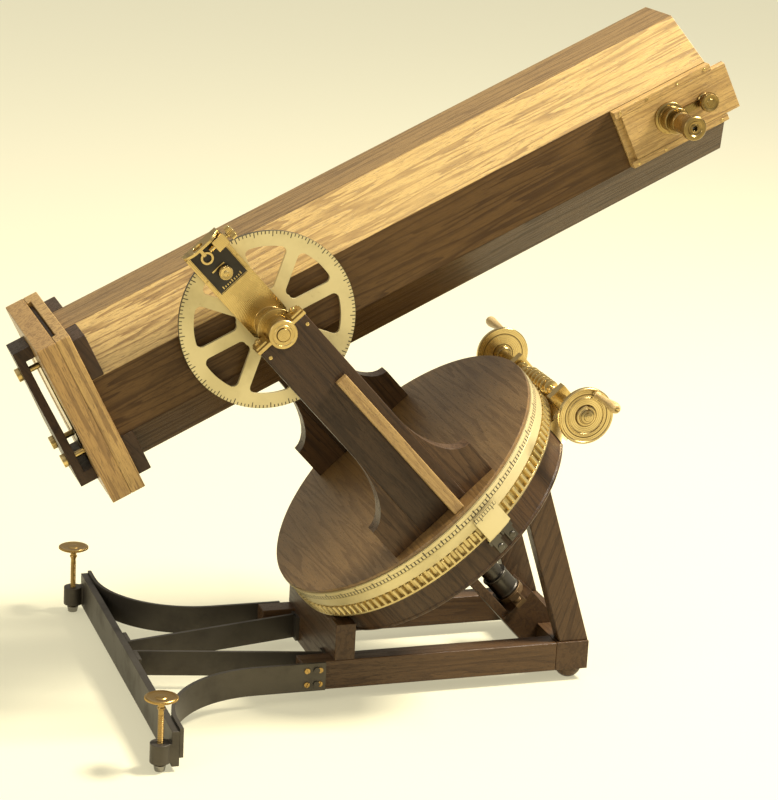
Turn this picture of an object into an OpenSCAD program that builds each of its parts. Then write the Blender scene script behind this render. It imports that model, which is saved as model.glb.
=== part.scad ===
// Table-top reflecting telescope: an octagonal wooden tube carried by its trunnions in a wooden
// fork, which turns with the hour disc about an inclined polar axis on a low wooden frame.
// Millimetres, +Z up, the table is z = 0. X runs along the stand, Y across it.
// The origin lies on the table under the middle of the telescope's reach along X.

/* [Axes] */
// Height of the declination axis above the table
dec_height = 325; // [315:1:345]
// Slope of the polar axis above the horizontal, in degrees
polar_tilt = 47.5; // [46:0.5:49]
// Slope of the tube above the horizontal, in degrees
tube_tilt = 26.5; // [20:0.5:30]
// Height of the declination axis above the hour disc, along the polar axis
fork_height = 206; // [204:1:215]

/* [Tube] */
// Width of the octagonal tube across its flats
tube_flats = 122; // [118:1:126]
// Thickness of the tube's boards
stave_wall = 8; // [6:0.5:9]
// Reach of the tube from the declination axis to the mirror box
tube_back = 142; // [138:1:146]
// Reach of the tube from the declination axis to its open mouth
tube_front = 409; // [404:1:430]
// Drop of the tube's centre line below the declination axis
tube_drop = 6; // [0:0.5:8]
// Length of the corner blocks along the tube
corner_block_l = 11; // [8:1:16]

/* [Mirror box] */
// Side of the square mirror box
box_side = 138; // [134:1:142]
// Thickness of the box's front board
front_board_t = 12; // [11:0.5:13]
// Thickness of the box's back board
back_board_t = 16; // [16:0.5:18]
// Radius of the round openings in the box's boards
box_bore_r = 51.5; // [51.4:0.1:53]
// Radius of the mirror
mirror_r = 50; // [48:0.5:50]
// Thickness of the mirror at its edge
mirror_t = 10; // [8:0.5:10]
// Radius of the sphere that the mirror's face belongs to
mirror_curve_r = 1200; // [1000:10:1600]
// Thickness of the brass mirror cell's back
cell_back_t = 2.5; // [2:0.1:3]
// Width of the dust slide
slide_w = 104; // [103:0.5:106]
// Thickness of the dust slide
slide_t = 3; // [2.5:0.1:3.2]
// Depth of the dust slide's top edge below the box's top face
slide_sink = 4; // [2:0.5:6]
// Length of the bridge behind the mirror
bridge_l = 116; // [112:1:124]
// Thickness of the bridge
bridge_t = 7; // [6:0.5:8]
// Space between the bridge and the box
bridge_gap = 8; // [7:0.5:9]

/* [Eyepiece] */
// Distance of the eyepiece's centre line from the declination axis
eyepiece_x = 362; // [358:1:362]
// Distance from the eyepiece to the focusing knob
knob_pitch = 32; // [31.5:0.5:33]
// Length of the sliding eyepiece board
board_l = 96; // [94:1:98]
// Thickness of the sliding eyepiece board
board_t = 5; // [4:0.5:6]
// Width of the fixed bed under the eyepiece board
bed_w = 50; // [50:0.1:50.5]
// Thickness of the bed's floor
bed_t = 3; // [2.5:0.1:3.5]
// Outer radius of the eyepiece's draw tube
draw_r = 7.5; // [7:0.1:7.6]
// Radius of the eyepiece's cap
cap_r = 9.6; // [9:0.1:11]
// Length of the side of the prism's square faces
prism_side = 20; // [16:1:20]
// Radius of the focusing knob
knob_r = 7.8; // [7:0.1:9]

/* [Declination circle and fork] */
// Radius of the declination circle
circle_r = 71; // [70:0.5:72]
// Width of the declination circle's rim
circle_rim = 11.8; // [10:0.2:13]
// Thickness of the declination circle
circle_t = 3; // [2.5:0.1:3.5]
// Spokes of the declination circle
circle_spokes = 8; // [6:1:8]
// Distance between the outer faces of the fork's arms
fork_span = 226; // [225:1:228]
// Thickness of the fork's arms
arm_t = 16; // [15:0.5:17]
// Width of the fork's arms
arm_w = 46; // [44:1:48]
// Width of the fork's arms over their wings
wing_span = 104; // [98:1:106]
// Height of the wings on the fork's arms
wing_h = 88; // [80:1:96]
// Radius of the trunnions in their bearings
trunnion_r = 5; // [4.5:0.1:5.5]
// Wall of the trunnion bushes
bush_wall = 3; // [2.5:0.1:3.5]
// Thickness of the bearing caps
strap_t = 3; // [2.5:0.1:4]

/* [Hour disc and drive] */
// Radius of the hour disc
disc_r = 132; // [131.5:0.1:132.4]
// Thickness of the hour disc's board at its edge
disc_rim_t = 3; // [2.5:0.1:3.5]
// Height of the divided band of the hour circle
band_h = 7.5; // [7:0.1:8]
// Height of the plain band of the hour circle under it
plain_h = 10; // [9:0.5:10]
// How far the fixed drum stands back from the hour disc's edge
drum_inset = 6; // [5.5:0.5:8]
// Height of the fixed drum
drum_h = 25; // [24:0.5:26]
// Teeth of the worm wheel
wheel_teeth = 120; // [120:1:120]
// How far the worm wheel's pitch circle lies inside the hour disc's edge
wheel_pitch_inset = 1; // [0.8:0.1:1.2]
// Width of the worm wheel's teeth along the polar axis
wheel_w = 11; // [10:0.5:11]
// Radius of the worm's pitch cylinder
worm_pitch_r = 6; // [5.8:0.1:6.4]
// Turns of the worm's thread
worm_turns = 8; // [6:1:8]
// Radius of the worm's shaft in its bearings
worm_shaft_r = 3.5; // [3:0.1:3.8]
// Radius of the crank discs
crank_r = 23.5; // [22:0.5:24]
// Radius of the polar shaft
polar_r = 9; // [8:0.5:10]
// Distance from the hour disc's face to the lower polar bearing
lower_bearing_h = 160; // [156:1:164]

/* [Stand] */
// Width of the stand over its side rails
stand_w = 136; // [132:1:140]
// Height of the stand's rails
rail_h = 25; // [23:0.5:27]
// Thickness of the stand's rails
rail_t = 18; // [16:0.5:19]
// Height of the domed feet
foot_h = 10; // [9:0.5:12]
// How far the crossbar runs past each levelling screw
crossbar_over = 5; // [4:0.5:7]
// Thickness of the crossbar
crossbar_t = 6; // [5:0.5:8]
// Thickness of the iron bands and braces
band_t = 3; // [2:0.5:4]
// Radius of the bend in the iron side bands
band_bend_r = 87; // [84:1:90]
// Radius of the levelling screws
level_screw_r = 2.5; // [2:0.1:3]
// Radius of the levelling screws' heads
level_knob_r = 13; // [11:0.5:15]
// Distance between the levelling screws
level_span = 338; // [320:1:340]

/* [Fits] */
// Radial clearance of a turning or sliding fit
running = 0.05; // [0.03:0.01:0.08]
// Gap between neighbours that move past each other
gap = 0.3; // [0.2:0.05:0.35]
// Gap between round pieces that are fixed together
seat = 0.02; // [0.01:0.01:0.03]

/* [Hidden] */
$fn = 96;

// Tube and mirror box, measured from the tube's centre line
tube_a = tube_flats / 2;
tube_in = tube_a - stave_wall;
box_half = box_side / 2;
front_board_x = -tube_back - front_board_t;
box_x = front_board_x - back_board_t;
groove_t = slide_t + gap + 0.3;
groove_bottom = -box_bore_r - 2.5;
mirror_x = front_board_x - 3;
mirror_edge = sqrt(mirror_curve_r * mirror_curve_r - mirror_r * mirror_r);
cell_wall = 1;
bridge_x = box_x - bridge_gap - bridge_t;
bridge_foot = 10;
bridge_top_w = 30;
bridge_low_w = 70;
adjust_r = 2.5;
adjust_head_r = 5.5;
adjust_spots = [[0, 36], [-24, -36], [24, -36]];

// Eyepiece board, its bed and the focusing gear, y is measured outwards from the tube's centre
knob_x = eyepiece_x + knob_pitch;
slot_x0 = eyepiece_x - 26;
slot_x1 = tube_front - 4;
slot_half = 9;
bed_x0 = eyepiece_x - 42;
rail_w = 4;
dovetail = 1.5;
board_in = tube_a + bed_t + gap;
board_out = board_in + board_t;
board_half = bed_w / 2 - rail_w - gap;
board_x0 = eyepiece_x - 37;
socket_r = draw_r + 2;
flange_r = 13;
flange_t = 3;
socket_out = board_out + 16;
light_tube_r = draw_r + 0.4 - 0.5;
light_tube_bore = light_tube_r - 1;
light_tube_end = 48;
barrel_in = board_out + 1;
barrel_out = socket_out + 27;
barrel_head = 21;
cap_t = 6;
eye_hole_r = 2.1;
gear_module = 0.8;
pinion_teeth = 12;
pinion_r = gear_module * pinion_teeth / 2;
rack_pitch = PI * gear_module;
pinion_w = 5;
pinion_shaft_r = 2.2;
knob_t = 5;
cheek_t = 1.5;

// Declination bearings and circle, y is measured outwards from the fork's centre
arm_out = fork_span / 2;
arm_in = arm_out - arm_t;
hub_r = 17;
circle_in = tube_a + 6;
circle_out = circle_in + circle_t;
trunnion_end = arm_out + 2;
bush_r = trunnion_r + running + bush_wall;
alidade_in = circle_out + 2;
alidade_t = 4;
alidade_w = 34;
alidade_l = circle_r + 13;
alidade_out = alidade_in + alidade_t;
boss_r = 16;
clamp_z = circle_r - 15;
tangent_z = circle_r + 7;
tangent_y = alidade_out + 5;
tangent_r = 2;
strap_w = arm_w + 2;
rib_x = 5;
rib_w = 10;
rib_out = 14;
rib_top = 6;
rib_h = 148;

// Hour disc, drive and polar axis, z is measured along the polar axis from the disc's face
core_r = disc_r - 12;
drum_r = disc_r - drum_inset;
wheel_pitch_r = disc_r - wheel_pitch_inset;
wheel_z1 = -(disc_rim_t + band_h + plain_h);
wheel_z0 = wheel_z1 - wheel_w;
vernier_top = -(disc_rim_t + band_h + 0.5);
drum_z1 = wheel_z0 - 1.5;
drum_z0 = drum_z1 - drum_h;
polar_flange_r = 30;
polar_flange_t = 4;
washer_t = 2.5;
washer_z = wheel_z0 - polar_flange_t;
bush_out_r = polar_r + running + 3;
shaft_end = -(lower_bearing_h + 14);
wheel_pitch = 2 * PI * wheel_pitch_r / wheel_teeth;
tooth_up = 1.6;
tooth_down = 1.8;
worm_s = wheel_pitch_r + worm_pitch_r;
worm_z = (wheel_z0 + wheel_z1) / 2;
worm_l = worm_turns * wheel_pitch;
worm_core_r = worm_pitch_r - 1.9;
worm_tip_r = worm_pitch_r + 1.5;
worm_y = -5;
// A thread gap faces the wheel's middle tooth
worm_phase = 180 - 360 * (0.5 + worm_turns / 2 - worm_y / wheel_pitch);
bearing_w = 8;
bracket_in = 22;
bracket_h = 24;
vernier_h = 22;
vernier_mid = 80;
vernier_span = 11;
wheel_room = 2;
bearing_near = worm_y - worm_l / 2 - 24;
bearing_far = worm_y + worm_l / 2 + 24;
crank_t = 4;
crank_near = -103;
crank_far = 82;
stud_r = 1.6;
collar_r = 11.5;
collar_h = 20;
handle_l = 40;
near_handle_turn = 23;
far_handle_turn = 40;

// Stand, x is measured from the declination axis
rail_z0 = foot_h;
rail_z1 = foot_h + rail_h;
rail_x0 = 40;
beam_x0 = 264;
beam_x1 = 293;
cradle_x0 = 68;
cradle_x1 = 85;
cradle_z = rail_z1 + 31;
rail_in = stand_w / 2 - rail_t;
strut_w = 26;
strut_t = 14;
strut_lean = 0.325;
strut_rise = 160;
block_l = 75;
block_half_s = 14;
block_back = 21.5;
plank_t = 8;
plank_half_y = 18;
block_half_y = 22;
foot_in_x = 13;
foot_in_y = 12;
foot_r = 12;
foot_ball_r = 11.5;
cut_l = 200;
crossbar_x1 = -band_bend_r;
crossbar_x0 = crossbar_x1 - crossbar_t;
crossbar_z0 = 4;
crossbar_z1 = 33;
lug_r = 8;
lug_x = crossbar_x0 - lug_r;
lug_z0 = 7;
lug_z1 = 23;
crossbar_l = level_span + 2 * crossbar_over;
tip_h = 5;
tip_r = 5;
level_top = 61;

// The telescope's reach along X about the declination axis puts the origin under its middle
reach_left = -bridge_x * cos(tube_tilt) + (bridge_l / 2 - tube_drop) * sin(tube_tilt);
reach_right = tube_front * cos(tube_tilt) + (tube_a + tube_drop) * sin(tube_tilt);
dec_x = (reach_left - reach_right) / 2;

// Frames of the main groups

module at_stand() translate([dec_x, 0, 0]) children();

module at_trunnion() translate([dec_x, 0, dec_height]) rotate([0, -tube_tilt, 0]) children();

module at_tube() at_trunnion() translate([0, 0, -tube_drop]) children();

module at_polar()
    translate([dec_x, 0, dec_height]) rotate([0, polar_tilt - 90, 0])
        translate([0, 0, -fork_height]) children();

module at_fork_top() at_polar() translate([0, 0, fork_height]) children();

// Helpers

module both_sides() {
    children();
    mirror([0, 1, 0]) children();
}

// Turns a shape drawn along Z so that it runs along Y from y0
module along_y(y0) translate([0, y0, 0]) rotate([-90, 0, 0]) children();

// A rod or tube towards the viewer's side, from distance d0 to d1 from the centre plane
module near_rod(r, d0, d1, bore = 0)
    along_y(-d1) difference() {
        cylinder(r = r, h = d1 - d0);
        if (bore > 0) translate([0, 0, -1]) cylinder(r = bore, h = d1 - d0 + 2);
    }

// A flat outline in X and Z, as thick as the way from y0 to y1
module slab(y0, y1) translate([0, y1, 0]) rotate([90, 0, 0]) linear_extrude(y1 - y0) children();

// An outline in Y and Z, as long as the way from x0 to x1
module bar(x0, x1) translate([x0, 0, 0]) rotate([90, 0, 90]) linear_extrude(x1 - x0) children();

module block(low, high) translate(low) cube(high - low);

function tooth_ring(count, root, pitch_r, tip, half_root, half_tip) = [
    for (i = [0 : count - 1])
        for (p = [[root, -half_root], [tip, -half_tip], [tip, half_tip], [root, half_root]])
            let (turn = 360 * i / count + p[1] / pitch_r * 180 / PI)
                [p[0] * cos(turn), p[0] * sin(turn)]
];

// Tube

module stave(turn) {
    edge = tan(22.5);
    rotate([turn, 0, 0]) bar(-tube_back, tube_front) polygon([
        [-tube_a * edge, tube_a], [tube_a * edge, tube_a],
        [tube_in * edge, tube_in], [-tube_in * edge, tube_in]
    ]);
}

module top_stave() color("burlywood") at_tube() stave(0);

module bottom_stave() color("burlywood") at_tube() stave(180);

module back_stave() color("burlywood") at_tube() stave(270);

module front_stave() color("burlywood") at_tube() difference() {
    stave(90);
    block([slot_x0, -tube_a - 1, -slot_half], [slot_x1, -tube_in + 1, slot_half]);
}

module upper_staves() color("burlywood") at_tube() for (turn = [45, 315]) stave(turn);

module lower_staves() color("burlywood") at_tube() for (turn = [135, 225]) stave(turn);

module corner_blocks() color("saddlebrown") at_tube() for (turn = [0 : 90 : 270])
    rotate([turn, 0, 0]) bar(-tube_back, -tube_back + corner_block_l) polygon([
        [tube_a * tan(22.5), tube_a], [tube_a, tube_a], [tube_a, tube_a * tan(22.5)]
    ]);

// Mirror box

module box_front_board() color("burlywood") at_tube() difference() {
    block([front_board_x, -box_half, -box_half], [-tube_back, box_half, box_half]);
    translate([front_board_x - 1, 0, 0]) rotate([0, 90, 0])
        cylinder(r = box_bore_r, h = front_board_t + 2);
    block([front_board_x - 1, -slide_w / 2 - gap, groove_bottom],
        [front_board_x + groove_t, slide_w / 2 + gap, box_half + 1]);
}

module box_back_board() color("burlywood") at_tube() difference() {
    block([box_x, -box_half, -box_half], [front_board_x, box_half, box_half]);
    translate([box_x - 1, 0, 0]) rotate([0, 90, 0])
        cylinder(r = box_bore_r, h = back_board_t + 2);
}

module dust_slide() color("saddlebrown") at_tube()
    block([front_board_x + gap, -slide_w / 2, groove_bottom + gap],
        [front_board_x + gap + slide_t, slide_w / 2, box_half - slide_sink]);

module primary_mirror() color("silver") at_tube() translate([mirror_x, 0, 0]) rotate([0, 90, 0])
    rotate_extrude() polygon(concat(
        [[0, -mirror_t], [mirror_r, -mirror_t]],
        [for (r = [mirror_r : -mirror_r / 8 : 0])
            [r, mirror_edge - sqrt(mirror_curve_r * mirror_curve_r - r * r)]]
    ));

module mirror_cell() color("goldenrod") at_tube() difference() {
    translate([mirror_x - mirror_t - cell_back_t, 0, 0]) rotate([0, 90, 0])
        cylinder(r = box_bore_r - seat, h = mirror_t + cell_back_t - 1);
    translate([mirror_x - mirror_t, 0, 0]) rotate([0, 90, 0])
        cylinder(r = box_bore_r - cell_wall - seat, h = mirror_t + 2);
}

module bridge_outline() polygon([
    [-bridge_top_w / 2, bridge_l / 2], [bridge_top_w / 2, bridge_l / 2],
    [bridge_top_w / 2, bridge_l / 6], [bridge_low_w / 2, -bridge_l / 6],
    [bridge_low_w / 2, -bridge_l / 2], [-bridge_low_w / 2, -bridge_l / 2],
    [-bridge_low_w / 2, -bridge_l / 6], [-bridge_top_w / 2, bridge_l / 6]
]);

module mirror_bridge() color("saddlebrown") at_tube() difference() {
    union() {
        bar(bridge_x, bridge_x + bridge_t) bridge_outline();
        block([bridge_x + bridge_t, -bridge_top_w / 2, bridge_l / 2 - bridge_foot],
            [box_x, bridge_top_w / 2, bridge_l / 2]);
        block([bridge_x + bridge_t, -bridge_low_w / 2, -bridge_l / 2],
            [box_x, bridge_low_w / 2, -bridge_l / 2 + bridge_foot]);
    }
    for (spot = adjust_spots) translate([bridge_x - 1, spot[0], spot[1]]) rotate([0, 90, 0])
        cylinder(r = adjust_r + seat, h = bridge_t + 2);
}

module collimation_screws() color("goldenrod") at_tube() for (spot = adjust_spots)
    translate([0, spot[0], spot[1]]) rotate([0, -90, 0]) {
        reach = -(mirror_x - mirror_t - cell_back_t);
        translate([0, 0, reach]) cylinder(r = adjust_r, h = -bridge_x - reach);
        translate([0, 0, -bridge_x]) cylinder(r = adjust_head_r, h = 4);
    }

// Eyepiece

module slide_bed() color("tan") at_tube() difference() {
    bar(bed_x0, tube_front) polygon([
        [-tube_a, -bed_w / 2], [-tube_a, bed_w / 2], [-board_out, bed_w / 2],
        [-board_out, bed_w / 2 - rail_w - dovetail], [-board_in + gap, bed_w / 2 - rail_w],
        [-board_in + gap, -bed_w / 2 + rail_w], [-board_out, -bed_w / 2 + rail_w + dovetail],
        [-board_out, -bed_w / 2]
    ]);
    block([slot_x0, -board_in, -slot_half], [slot_x1, -tube_a + 1, slot_half]);
}

module eyepiece_board() color("tan") at_tube() difference() {
    bar(board_x0, board_x0 + board_l) polygon([
        [-board_in, -board_half], [-board_in, board_half],
        [-board_out, board_half - dovetail], [-board_out, -board_half + dovetail]
    ]);
    translate([eyepiece_x, 0, 0]) near_rod(light_tube_r + seat, board_in - 1, board_out + 1);
    translate([knob_x, 0, 0]) near_rod(pinion_shaft_r + 0.4, board_in - 1, board_out + 1);
}

module eyepiece_socket() color("gold") at_tube() difference() {
    union() {
        translate([eyepiece_x, 0, 0]) {
            near_rod(light_tube_r, light_tube_end, board_out);
            near_rod(flange_r, board_out, board_out + flange_t);
            near_rod(socket_r, board_out, socket_out);
            near_rod(socket_r + 1.3, socket_out - 3, socket_out);
        }
        translate([knob_x, 0, 0]) near_rod(6, board_out, board_out + flange_t);
        block([eyepiece_x + flange_r - 2, -board_out - flange_t, -3],
            [knob_x - 4, -board_out, 3]);
    }
    translate([eyepiece_x, 0, 0]) {
        near_rod(draw_r + running, board_out + 1, socket_out + 1);
        near_rod(light_tube_bore, light_tube_end - 1, board_out + 2);
    }
    translate([knob_x, 0, 0])
        near_rod(pinion_shaft_r + running, board_out - 1, board_out + flange_t + 1);
}

module eyepiece_barrel() color("gold") at_tube() translate([eyepiece_x, 0, 0]) difference() {
    union() {
        near_rod(draw_r, barrel_in + 6, barrel_out);
        near_rod(draw_r + 1.1, barrel_out - barrel_head, barrel_out);
        near_rod(cap_r, barrel_out, barrel_out + cap_t);
    }
    near_rod(draw_r - 1, barrel_in, barrel_out + 2);
    near_rod(eye_hole_r, barrel_out, barrel_out + cap_t + 1);
}

module eyepiece_lenses() color("lightblue") at_tube() translate([eyepiece_x, 0, 0]) {
    near_rod(draw_r - 1 - seat, barrel_in + 8, barrel_in + 11);
    near_rod(draw_r - 1 - seat, barrel_out, barrel_out + 2);
}

module prism() color("lightblue") at_tube() translate([eyepiece_x, 0, -prism_side / 2])
    linear_extrude(prism_side) polygon([
        [-prism_side / 2, -prism_side / 2], [prism_side / 2, -prism_side / 2],
        [-prism_side / 2, prism_side / 2]
    ]);

module prism_arm() color("gold") at_tube() translate([eyepiece_x, 0, 0]) {
    near_rod(prism_side / 2 + cheek_t + 0.5, light_tube_end + 1, light_tube_end + 4,
        light_tube_r + seat);
    for (z = [-prism_side / 2 - cheek_t, prism_side / 2])
        block([-4.5, -light_tube_end - 1, z], [4.5, 4, z + cheek_t]);
}

module focus_rack() color("gold") at_tube() translate([0, -tube_a + 0.5, 0]) slab(0, 6) difference() {
    translate([knob_x - 16.5, -slot_half]) square([27, slot_half - pinion_r + 0.7]);
    for (i = [-8 : 6]) translate([knob_x + i * rack_pitch, 0]) polygon([
        [-0.5, -pinion_r - 1.05], [0.5, -pinion_r - 1.05],
        [1.15, -pinion_r + 0.8], [-1.15, -pinion_r + 0.8]
    ]);
}

module focus_knob() color("gold") at_tube() translate([knob_x, 0, 0]) {
    along_y(-tube_a + 1) rotate([0, 0, -270]) linear_extrude(pinion_w) polygon(
        tooth_ring(pinion_teeth, pinion_r - 1, pinion_r, pinion_r + 0.7, 0.85, 0.22));
    near_rod(pinion_shaft_r, tube_a - 1, board_out + 9);
    near_rod(knob_r, board_out + 9, board_out + 9 + knob_t);
}

// Declination circle and trunnions

module trunnions() color("gold") at_trunnion() both_sides() {
    near_rod(hub_r, tube_a, circle_in);
    near_rod(trunnion_r, circle_in, trunnion_end);
}

// One window between two spokes, its corners rounded with radius c
module circle_window() {
    r1 = 25;
    r2 = circle_r - circle_rim;
    spoke = 5;
    c = 4.5;
    half = 180 / circle_spokes;
    module sector(low, high, side) intersection() {
        difference() {
            cylinder(r = high, h = circle_t + 2);
            translate([0, 0, -1]) cylinder(r = low, h = circle_t + 4);
        }
        linear_extrude(circle_t + 2) polygon([
            [side / sin(half), 0],
            [side / sin(half) + 90 * cos(half), 90 * sin(half)],
            [side / sin(half) + 90 * cos(half), -90 * sin(half)]
        ]);
    }
    sector(r1, r2, spoke + c);
    sector(r1 + c, r2 - c, spoke);
    for (r = [r1 + c, r2 - c]) for (side = [-1, 1])
        rotate([0, 0, side * (half - asin((spoke + c) / r))]) translate([r, 0, 0])
            cylinder(r = c, h = circle_t + 2, $fn = 32);
}

module dec_circle() color("khaki") at_trunnion() along_y(-circle_out) difference() {
    cylinder(r = circle_r, h = circle_t);
    translate([0, 0, -1]) cylinder(r = trunnion_r + seat, h = circle_t + 2);
    for (i = [0 : circle_spokes - 1])
        rotate([0, 0, (i + 0.5) * 360 / circle_spokes]) translate([0, 0, -1]) circle_window();
}

module trunnion_bushes() color("gold") at_fork_top() both_sides()
    near_rod(bush_r, arm_in, arm_out, trunnion_r + running);

module bearing_caps() color("gold") at_fork_top() both_sides() difference() {
    union() {
        block([-strap_w / 2, -arm_out, 0], [strap_w / 2, -arm_in, strap_t]);
        near_rod(bush_r + strap_t, arm_in, arm_out);
    }
    near_rod(bush_r + seat, arm_in - 1, arm_out + 1);
    block([-strap_w, -arm_out - 1, -strap_w], [strap_w, -arm_in + 1, 0]);
}

module cap_screws() color("gold") at_fork_top() both_sides() for (x = [-1, 1])
    translate([x * (strap_w / 2 - 6), -(arm_in + arm_out) / 2, strap_t])
        cylinder(r = 3, h = 2.5);

module alidade() color("gold") at_fork_top() difference() {
    union() {
        along_y(-arm_in) cylinder(r1 = boss_r, r2 = boss_r - 4, h = arm_in - alidade_in);
        slab(-alidade_out, -alidade_in) polygon([
            [-alidade_w / 2, 0], [-alidade_w / 2, alidade_l], [alidade_w / 2, alidade_l],
            [alidade_w / 2, 0], [8, -14], [-8, -14]
        ]);
        for (x = [-alidade_w / 2, alidade_w / 2 - 3])
            block([x, -alidade_out - 3, circle_r - 24], [x + 3, -alidade_out, alidade_l]);
        block([7, -tangent_y - 4, tangent_z - 5], [alidade_w / 2 + 1, -alidade_out, tangent_z + 5]);
    }
    near_rod(trunnion_r + 1, alidade_in - 1, arm_in + 1);
    block([-8, -alidade_out - 1, circle_r - 8], [5, -alidade_in + 1, circle_r + 3]);
    translate([0, 0, clamp_z]) near_rod(adjust_r + running, alidade_in - 1, alidade_out + 1);
    translate([0, -tangent_y, tangent_z]) rotate([0, 90, 0])
        cylinder(r = tangent_r + running, h = alidade_w);
}

module vernier_plate() color("khaki") at_fork_top() intersection() {
    along_y(-alidade_in) difference() {
        cylinder(r = circle_r + 9, h = alidade_in - circle_in);
        translate([0, 0, -1]) cylinder(r = circle_r + gap + 0.2, h = alidade_in - circle_in + 2);
    }
    block([-alidade_w / 2 + 2, -alidade_in, circle_r / 2], [alidade_w / 2 - 2, 0, circle_r * 2]);
}

module clamp_screw() color("gold") at_fork_top() translate([0, 0, clamp_z]) {
    near_rod(adjust_r, circle_out + gap, alidade_out + 3);
    near_rod(5.6, alidade_out + 3, alidade_out + 7);
}

module tangent_screw() color("gold") at_fork_top() translate([0, -tangent_y, tangent_z])
    rotate([0, 90, 0]) {
        translate([0, 0, 2]) cylinder(r = tangent_r, h = alidade_w / 2 + 2);
        translate([0, 0, alidade_w / 2 + 4]) cylinder(r = 6, h = 5);
    }

// Fork

module arm() difference() {
    block([-arm_w / 2, -arm_out, 0], [arm_w / 2, -arm_in, fork_height]);
    translate([0, 0, fork_height]) near_rod(bush_r + seat, arm_in - 1, arm_out + 1);
}

module wings() for (side = [-1, 1]) slab(-arm_out + 1, -arm_in - 1) polygon([
    for (p = concat(
        [[arm_w / 2, 0]],
        [for (t = [0 : 9 : 90]) [
            arm_w / 2 + (wing_span - arm_w) / 2 * (1 - cos(t)),
            30 + (wing_h - 30) * (1 - sin(t))
        ]],
        [[wing_span / 2, 0]]
    )) [side * p[0], p[1]]
]);

module near_arm() color("sienna") at_polar() arm();

module far_arm() color("sienna") at_polar() mirror([0, 1, 0]) arm();

module near_wings() color("sienna") at_polar() wings();

module far_wings() color("sienna") at_polar() mirror([0, 1, 0]) wings();

module fork_ribs() color("peru") at_polar() both_sides()
    bar(rib_x, rib_x + rib_w) polygon([
        [-arm_out, 0], [-arm_out, rib_h], [-arm_out - rib_top, rib_h], [-arm_out - rib_out, 0]
    ]);

// Hour disc and polar axis

module hour_disc() color("peru") at_polar() difference() {
    union() {
        translate([0, 0, -disc_rim_t]) cylinder(r = disc_r - 0.4, h = disc_rim_t);
        translate([0, 0, wheel_z0]) cylinder(r = core_r, h = -wheel_z0);
    }
    translate([0, 0, wheel_z0 - 1]) cylinder(r = polar_r + seat, h = -wheel_z0 - 5);
}

module hour_circle() color("khaki") at_polar() rotate_extrude() polygon([
    [core_r + seat, -disc_rim_t], [disc_r, -disc_rim_t], [disc_r, vernier_top + 0.5],
    [disc_r - 1, vernier_top], [disc_r - 1, wheel_z1], [core_r + seat, wheel_z1]
]);

module worm_wheel() color("gold") at_polar() difference() {
    translate([0, 0, wheel_z0]) linear_extrude(wheel_w) polygon(tooth_ring(
        wheel_teeth, wheel_pitch_r - tooth_down, wheel_pitch_r, wheel_pitch_r + tooth_up, 2.15, 1.0));
    translate([0, 0, wheel_z0 - 1]) cylinder(r = core_r + seat, h = wheel_w + 2);
}

module polar_shaft() color("gray") at_polar() {
    translate([0, 0, shaft_end]) cylinder(r = polar_r, h = -shaft_end - 6);
    translate([0, 0, washer_z]) cylinder(r = polar_flange_r, h = polar_flange_t);
    translate([0, 0, -lower_bearing_h + 6 + gap]) cylinder(r = collar_r, h = collar_h);
}

module polar_bush() color("gold") at_polar() difference() {
    union() {
        translate([0, 0, drum_z0]) cylinder(r = bush_out_r, h = washer_z - drum_z0);
        translate([0, 0, washer_z - washer_t])
            cylinder(r = polar_flange_r - 2, h = washer_t);
    }
    translate([0, 0, drum_z0 - 1]) cylinder(r = polar_r + running, h = washer_z - drum_z0 + 2);
}

module bed_drum() color("saddlebrown") at_polar() difference() {
    translate([0, 0, drum_z0]) cylinder(r = drum_r, h = drum_h);
    translate([0, 0, drum_z0 - 1]) cylinder(r = bush_out_r + seat, h = drum_h + 2);
    translate([0, 0, washer_z - washer_t]) cylinder(r = polar_flange_r + 2, h = 20);
}

module hour_vernier() color("khaki") at_polar() rotate([0, 0, -vernier_mid - vernier_span / 2])
    rotate_extrude(angle = vernier_span) polygon([
        [drum_r + seat, drum_z1 - vernier_h], [drum_r + 2.5, drum_z1 - vernier_h], [drum_r + 2.5, drum_z1 - 3],
        [disc_r + 3.6, drum_z1 - 1.5], [disc_r + 3.6, vernier_top], [disc_r + 1.8, vernier_top],
        [disc_r + 1.8, drum_z1 - 0.4], [drum_r + seat, drum_z1 - 0.8]
    ]);

module lower_bearing() color("gold") at_polar() translate([0, 0, -lower_bearing_h]) difference() {
    union() {
        cylinder(r = collar_r + 1, h = 6);
        block([-5, -27, 0], [5, 27, 4]);
        for (y = [-22, 22]) translate([0, y, 4]) cylinder(r = 3, h = 2);
    }
    translate([0, 0, -1]) cylinder(r = polar_r + running, h = 8);
}

// Worm drive

// One turn of the thread is one tooth of the wheel; the thread's flanks are straight
module worm_thread() {
    steps = 24;
    n = worm_turns * steps;
    inner = worm_core_r - 0.4;
    function ring(i) = let (turn = 360 * i / steps, z = wheel_pitch * i / steps)
        [for (p = [[inner, -1.7], [worm_tip_r, -0.7], [worm_tip_r, 0.7], [inner, 1.7]])
            [p[0] * cos(turn), p[0] * sin(turn), z + p[1]]];
    polyhedron(
        points = [for (i = [0 : n]) each ring(i)],
        faces = concat(
            [[3, 2, 1, 0], [4 * n, 4 * n + 1, 4 * n + 2, 4 * n + 3]],
            [for (i = [0 : n - 1]) for (k = [0 : 3])
                let (a = 4 * i + k, b = 4 * i + (k + 1) % 4) each [[b + 4, a + 4, a], [b, b + 4, a]]]
        )
    );
}

module worm() color("gold") at_polar() translate([worm_s, 0, worm_z]) {
    along_y(crank_near - crank_t) cylinder(r = worm_shaft_r, h = crank_far + crank_t - crank_near + crank_t);
    along_y(worm_y - worm_l / 2 - 2) cylinder(r = worm_core_r, h = worm_l + 4);
    along_y(worm_y - worm_l / 2) rotate([0, 0, worm_phase]) worm_thread();
}

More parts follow.
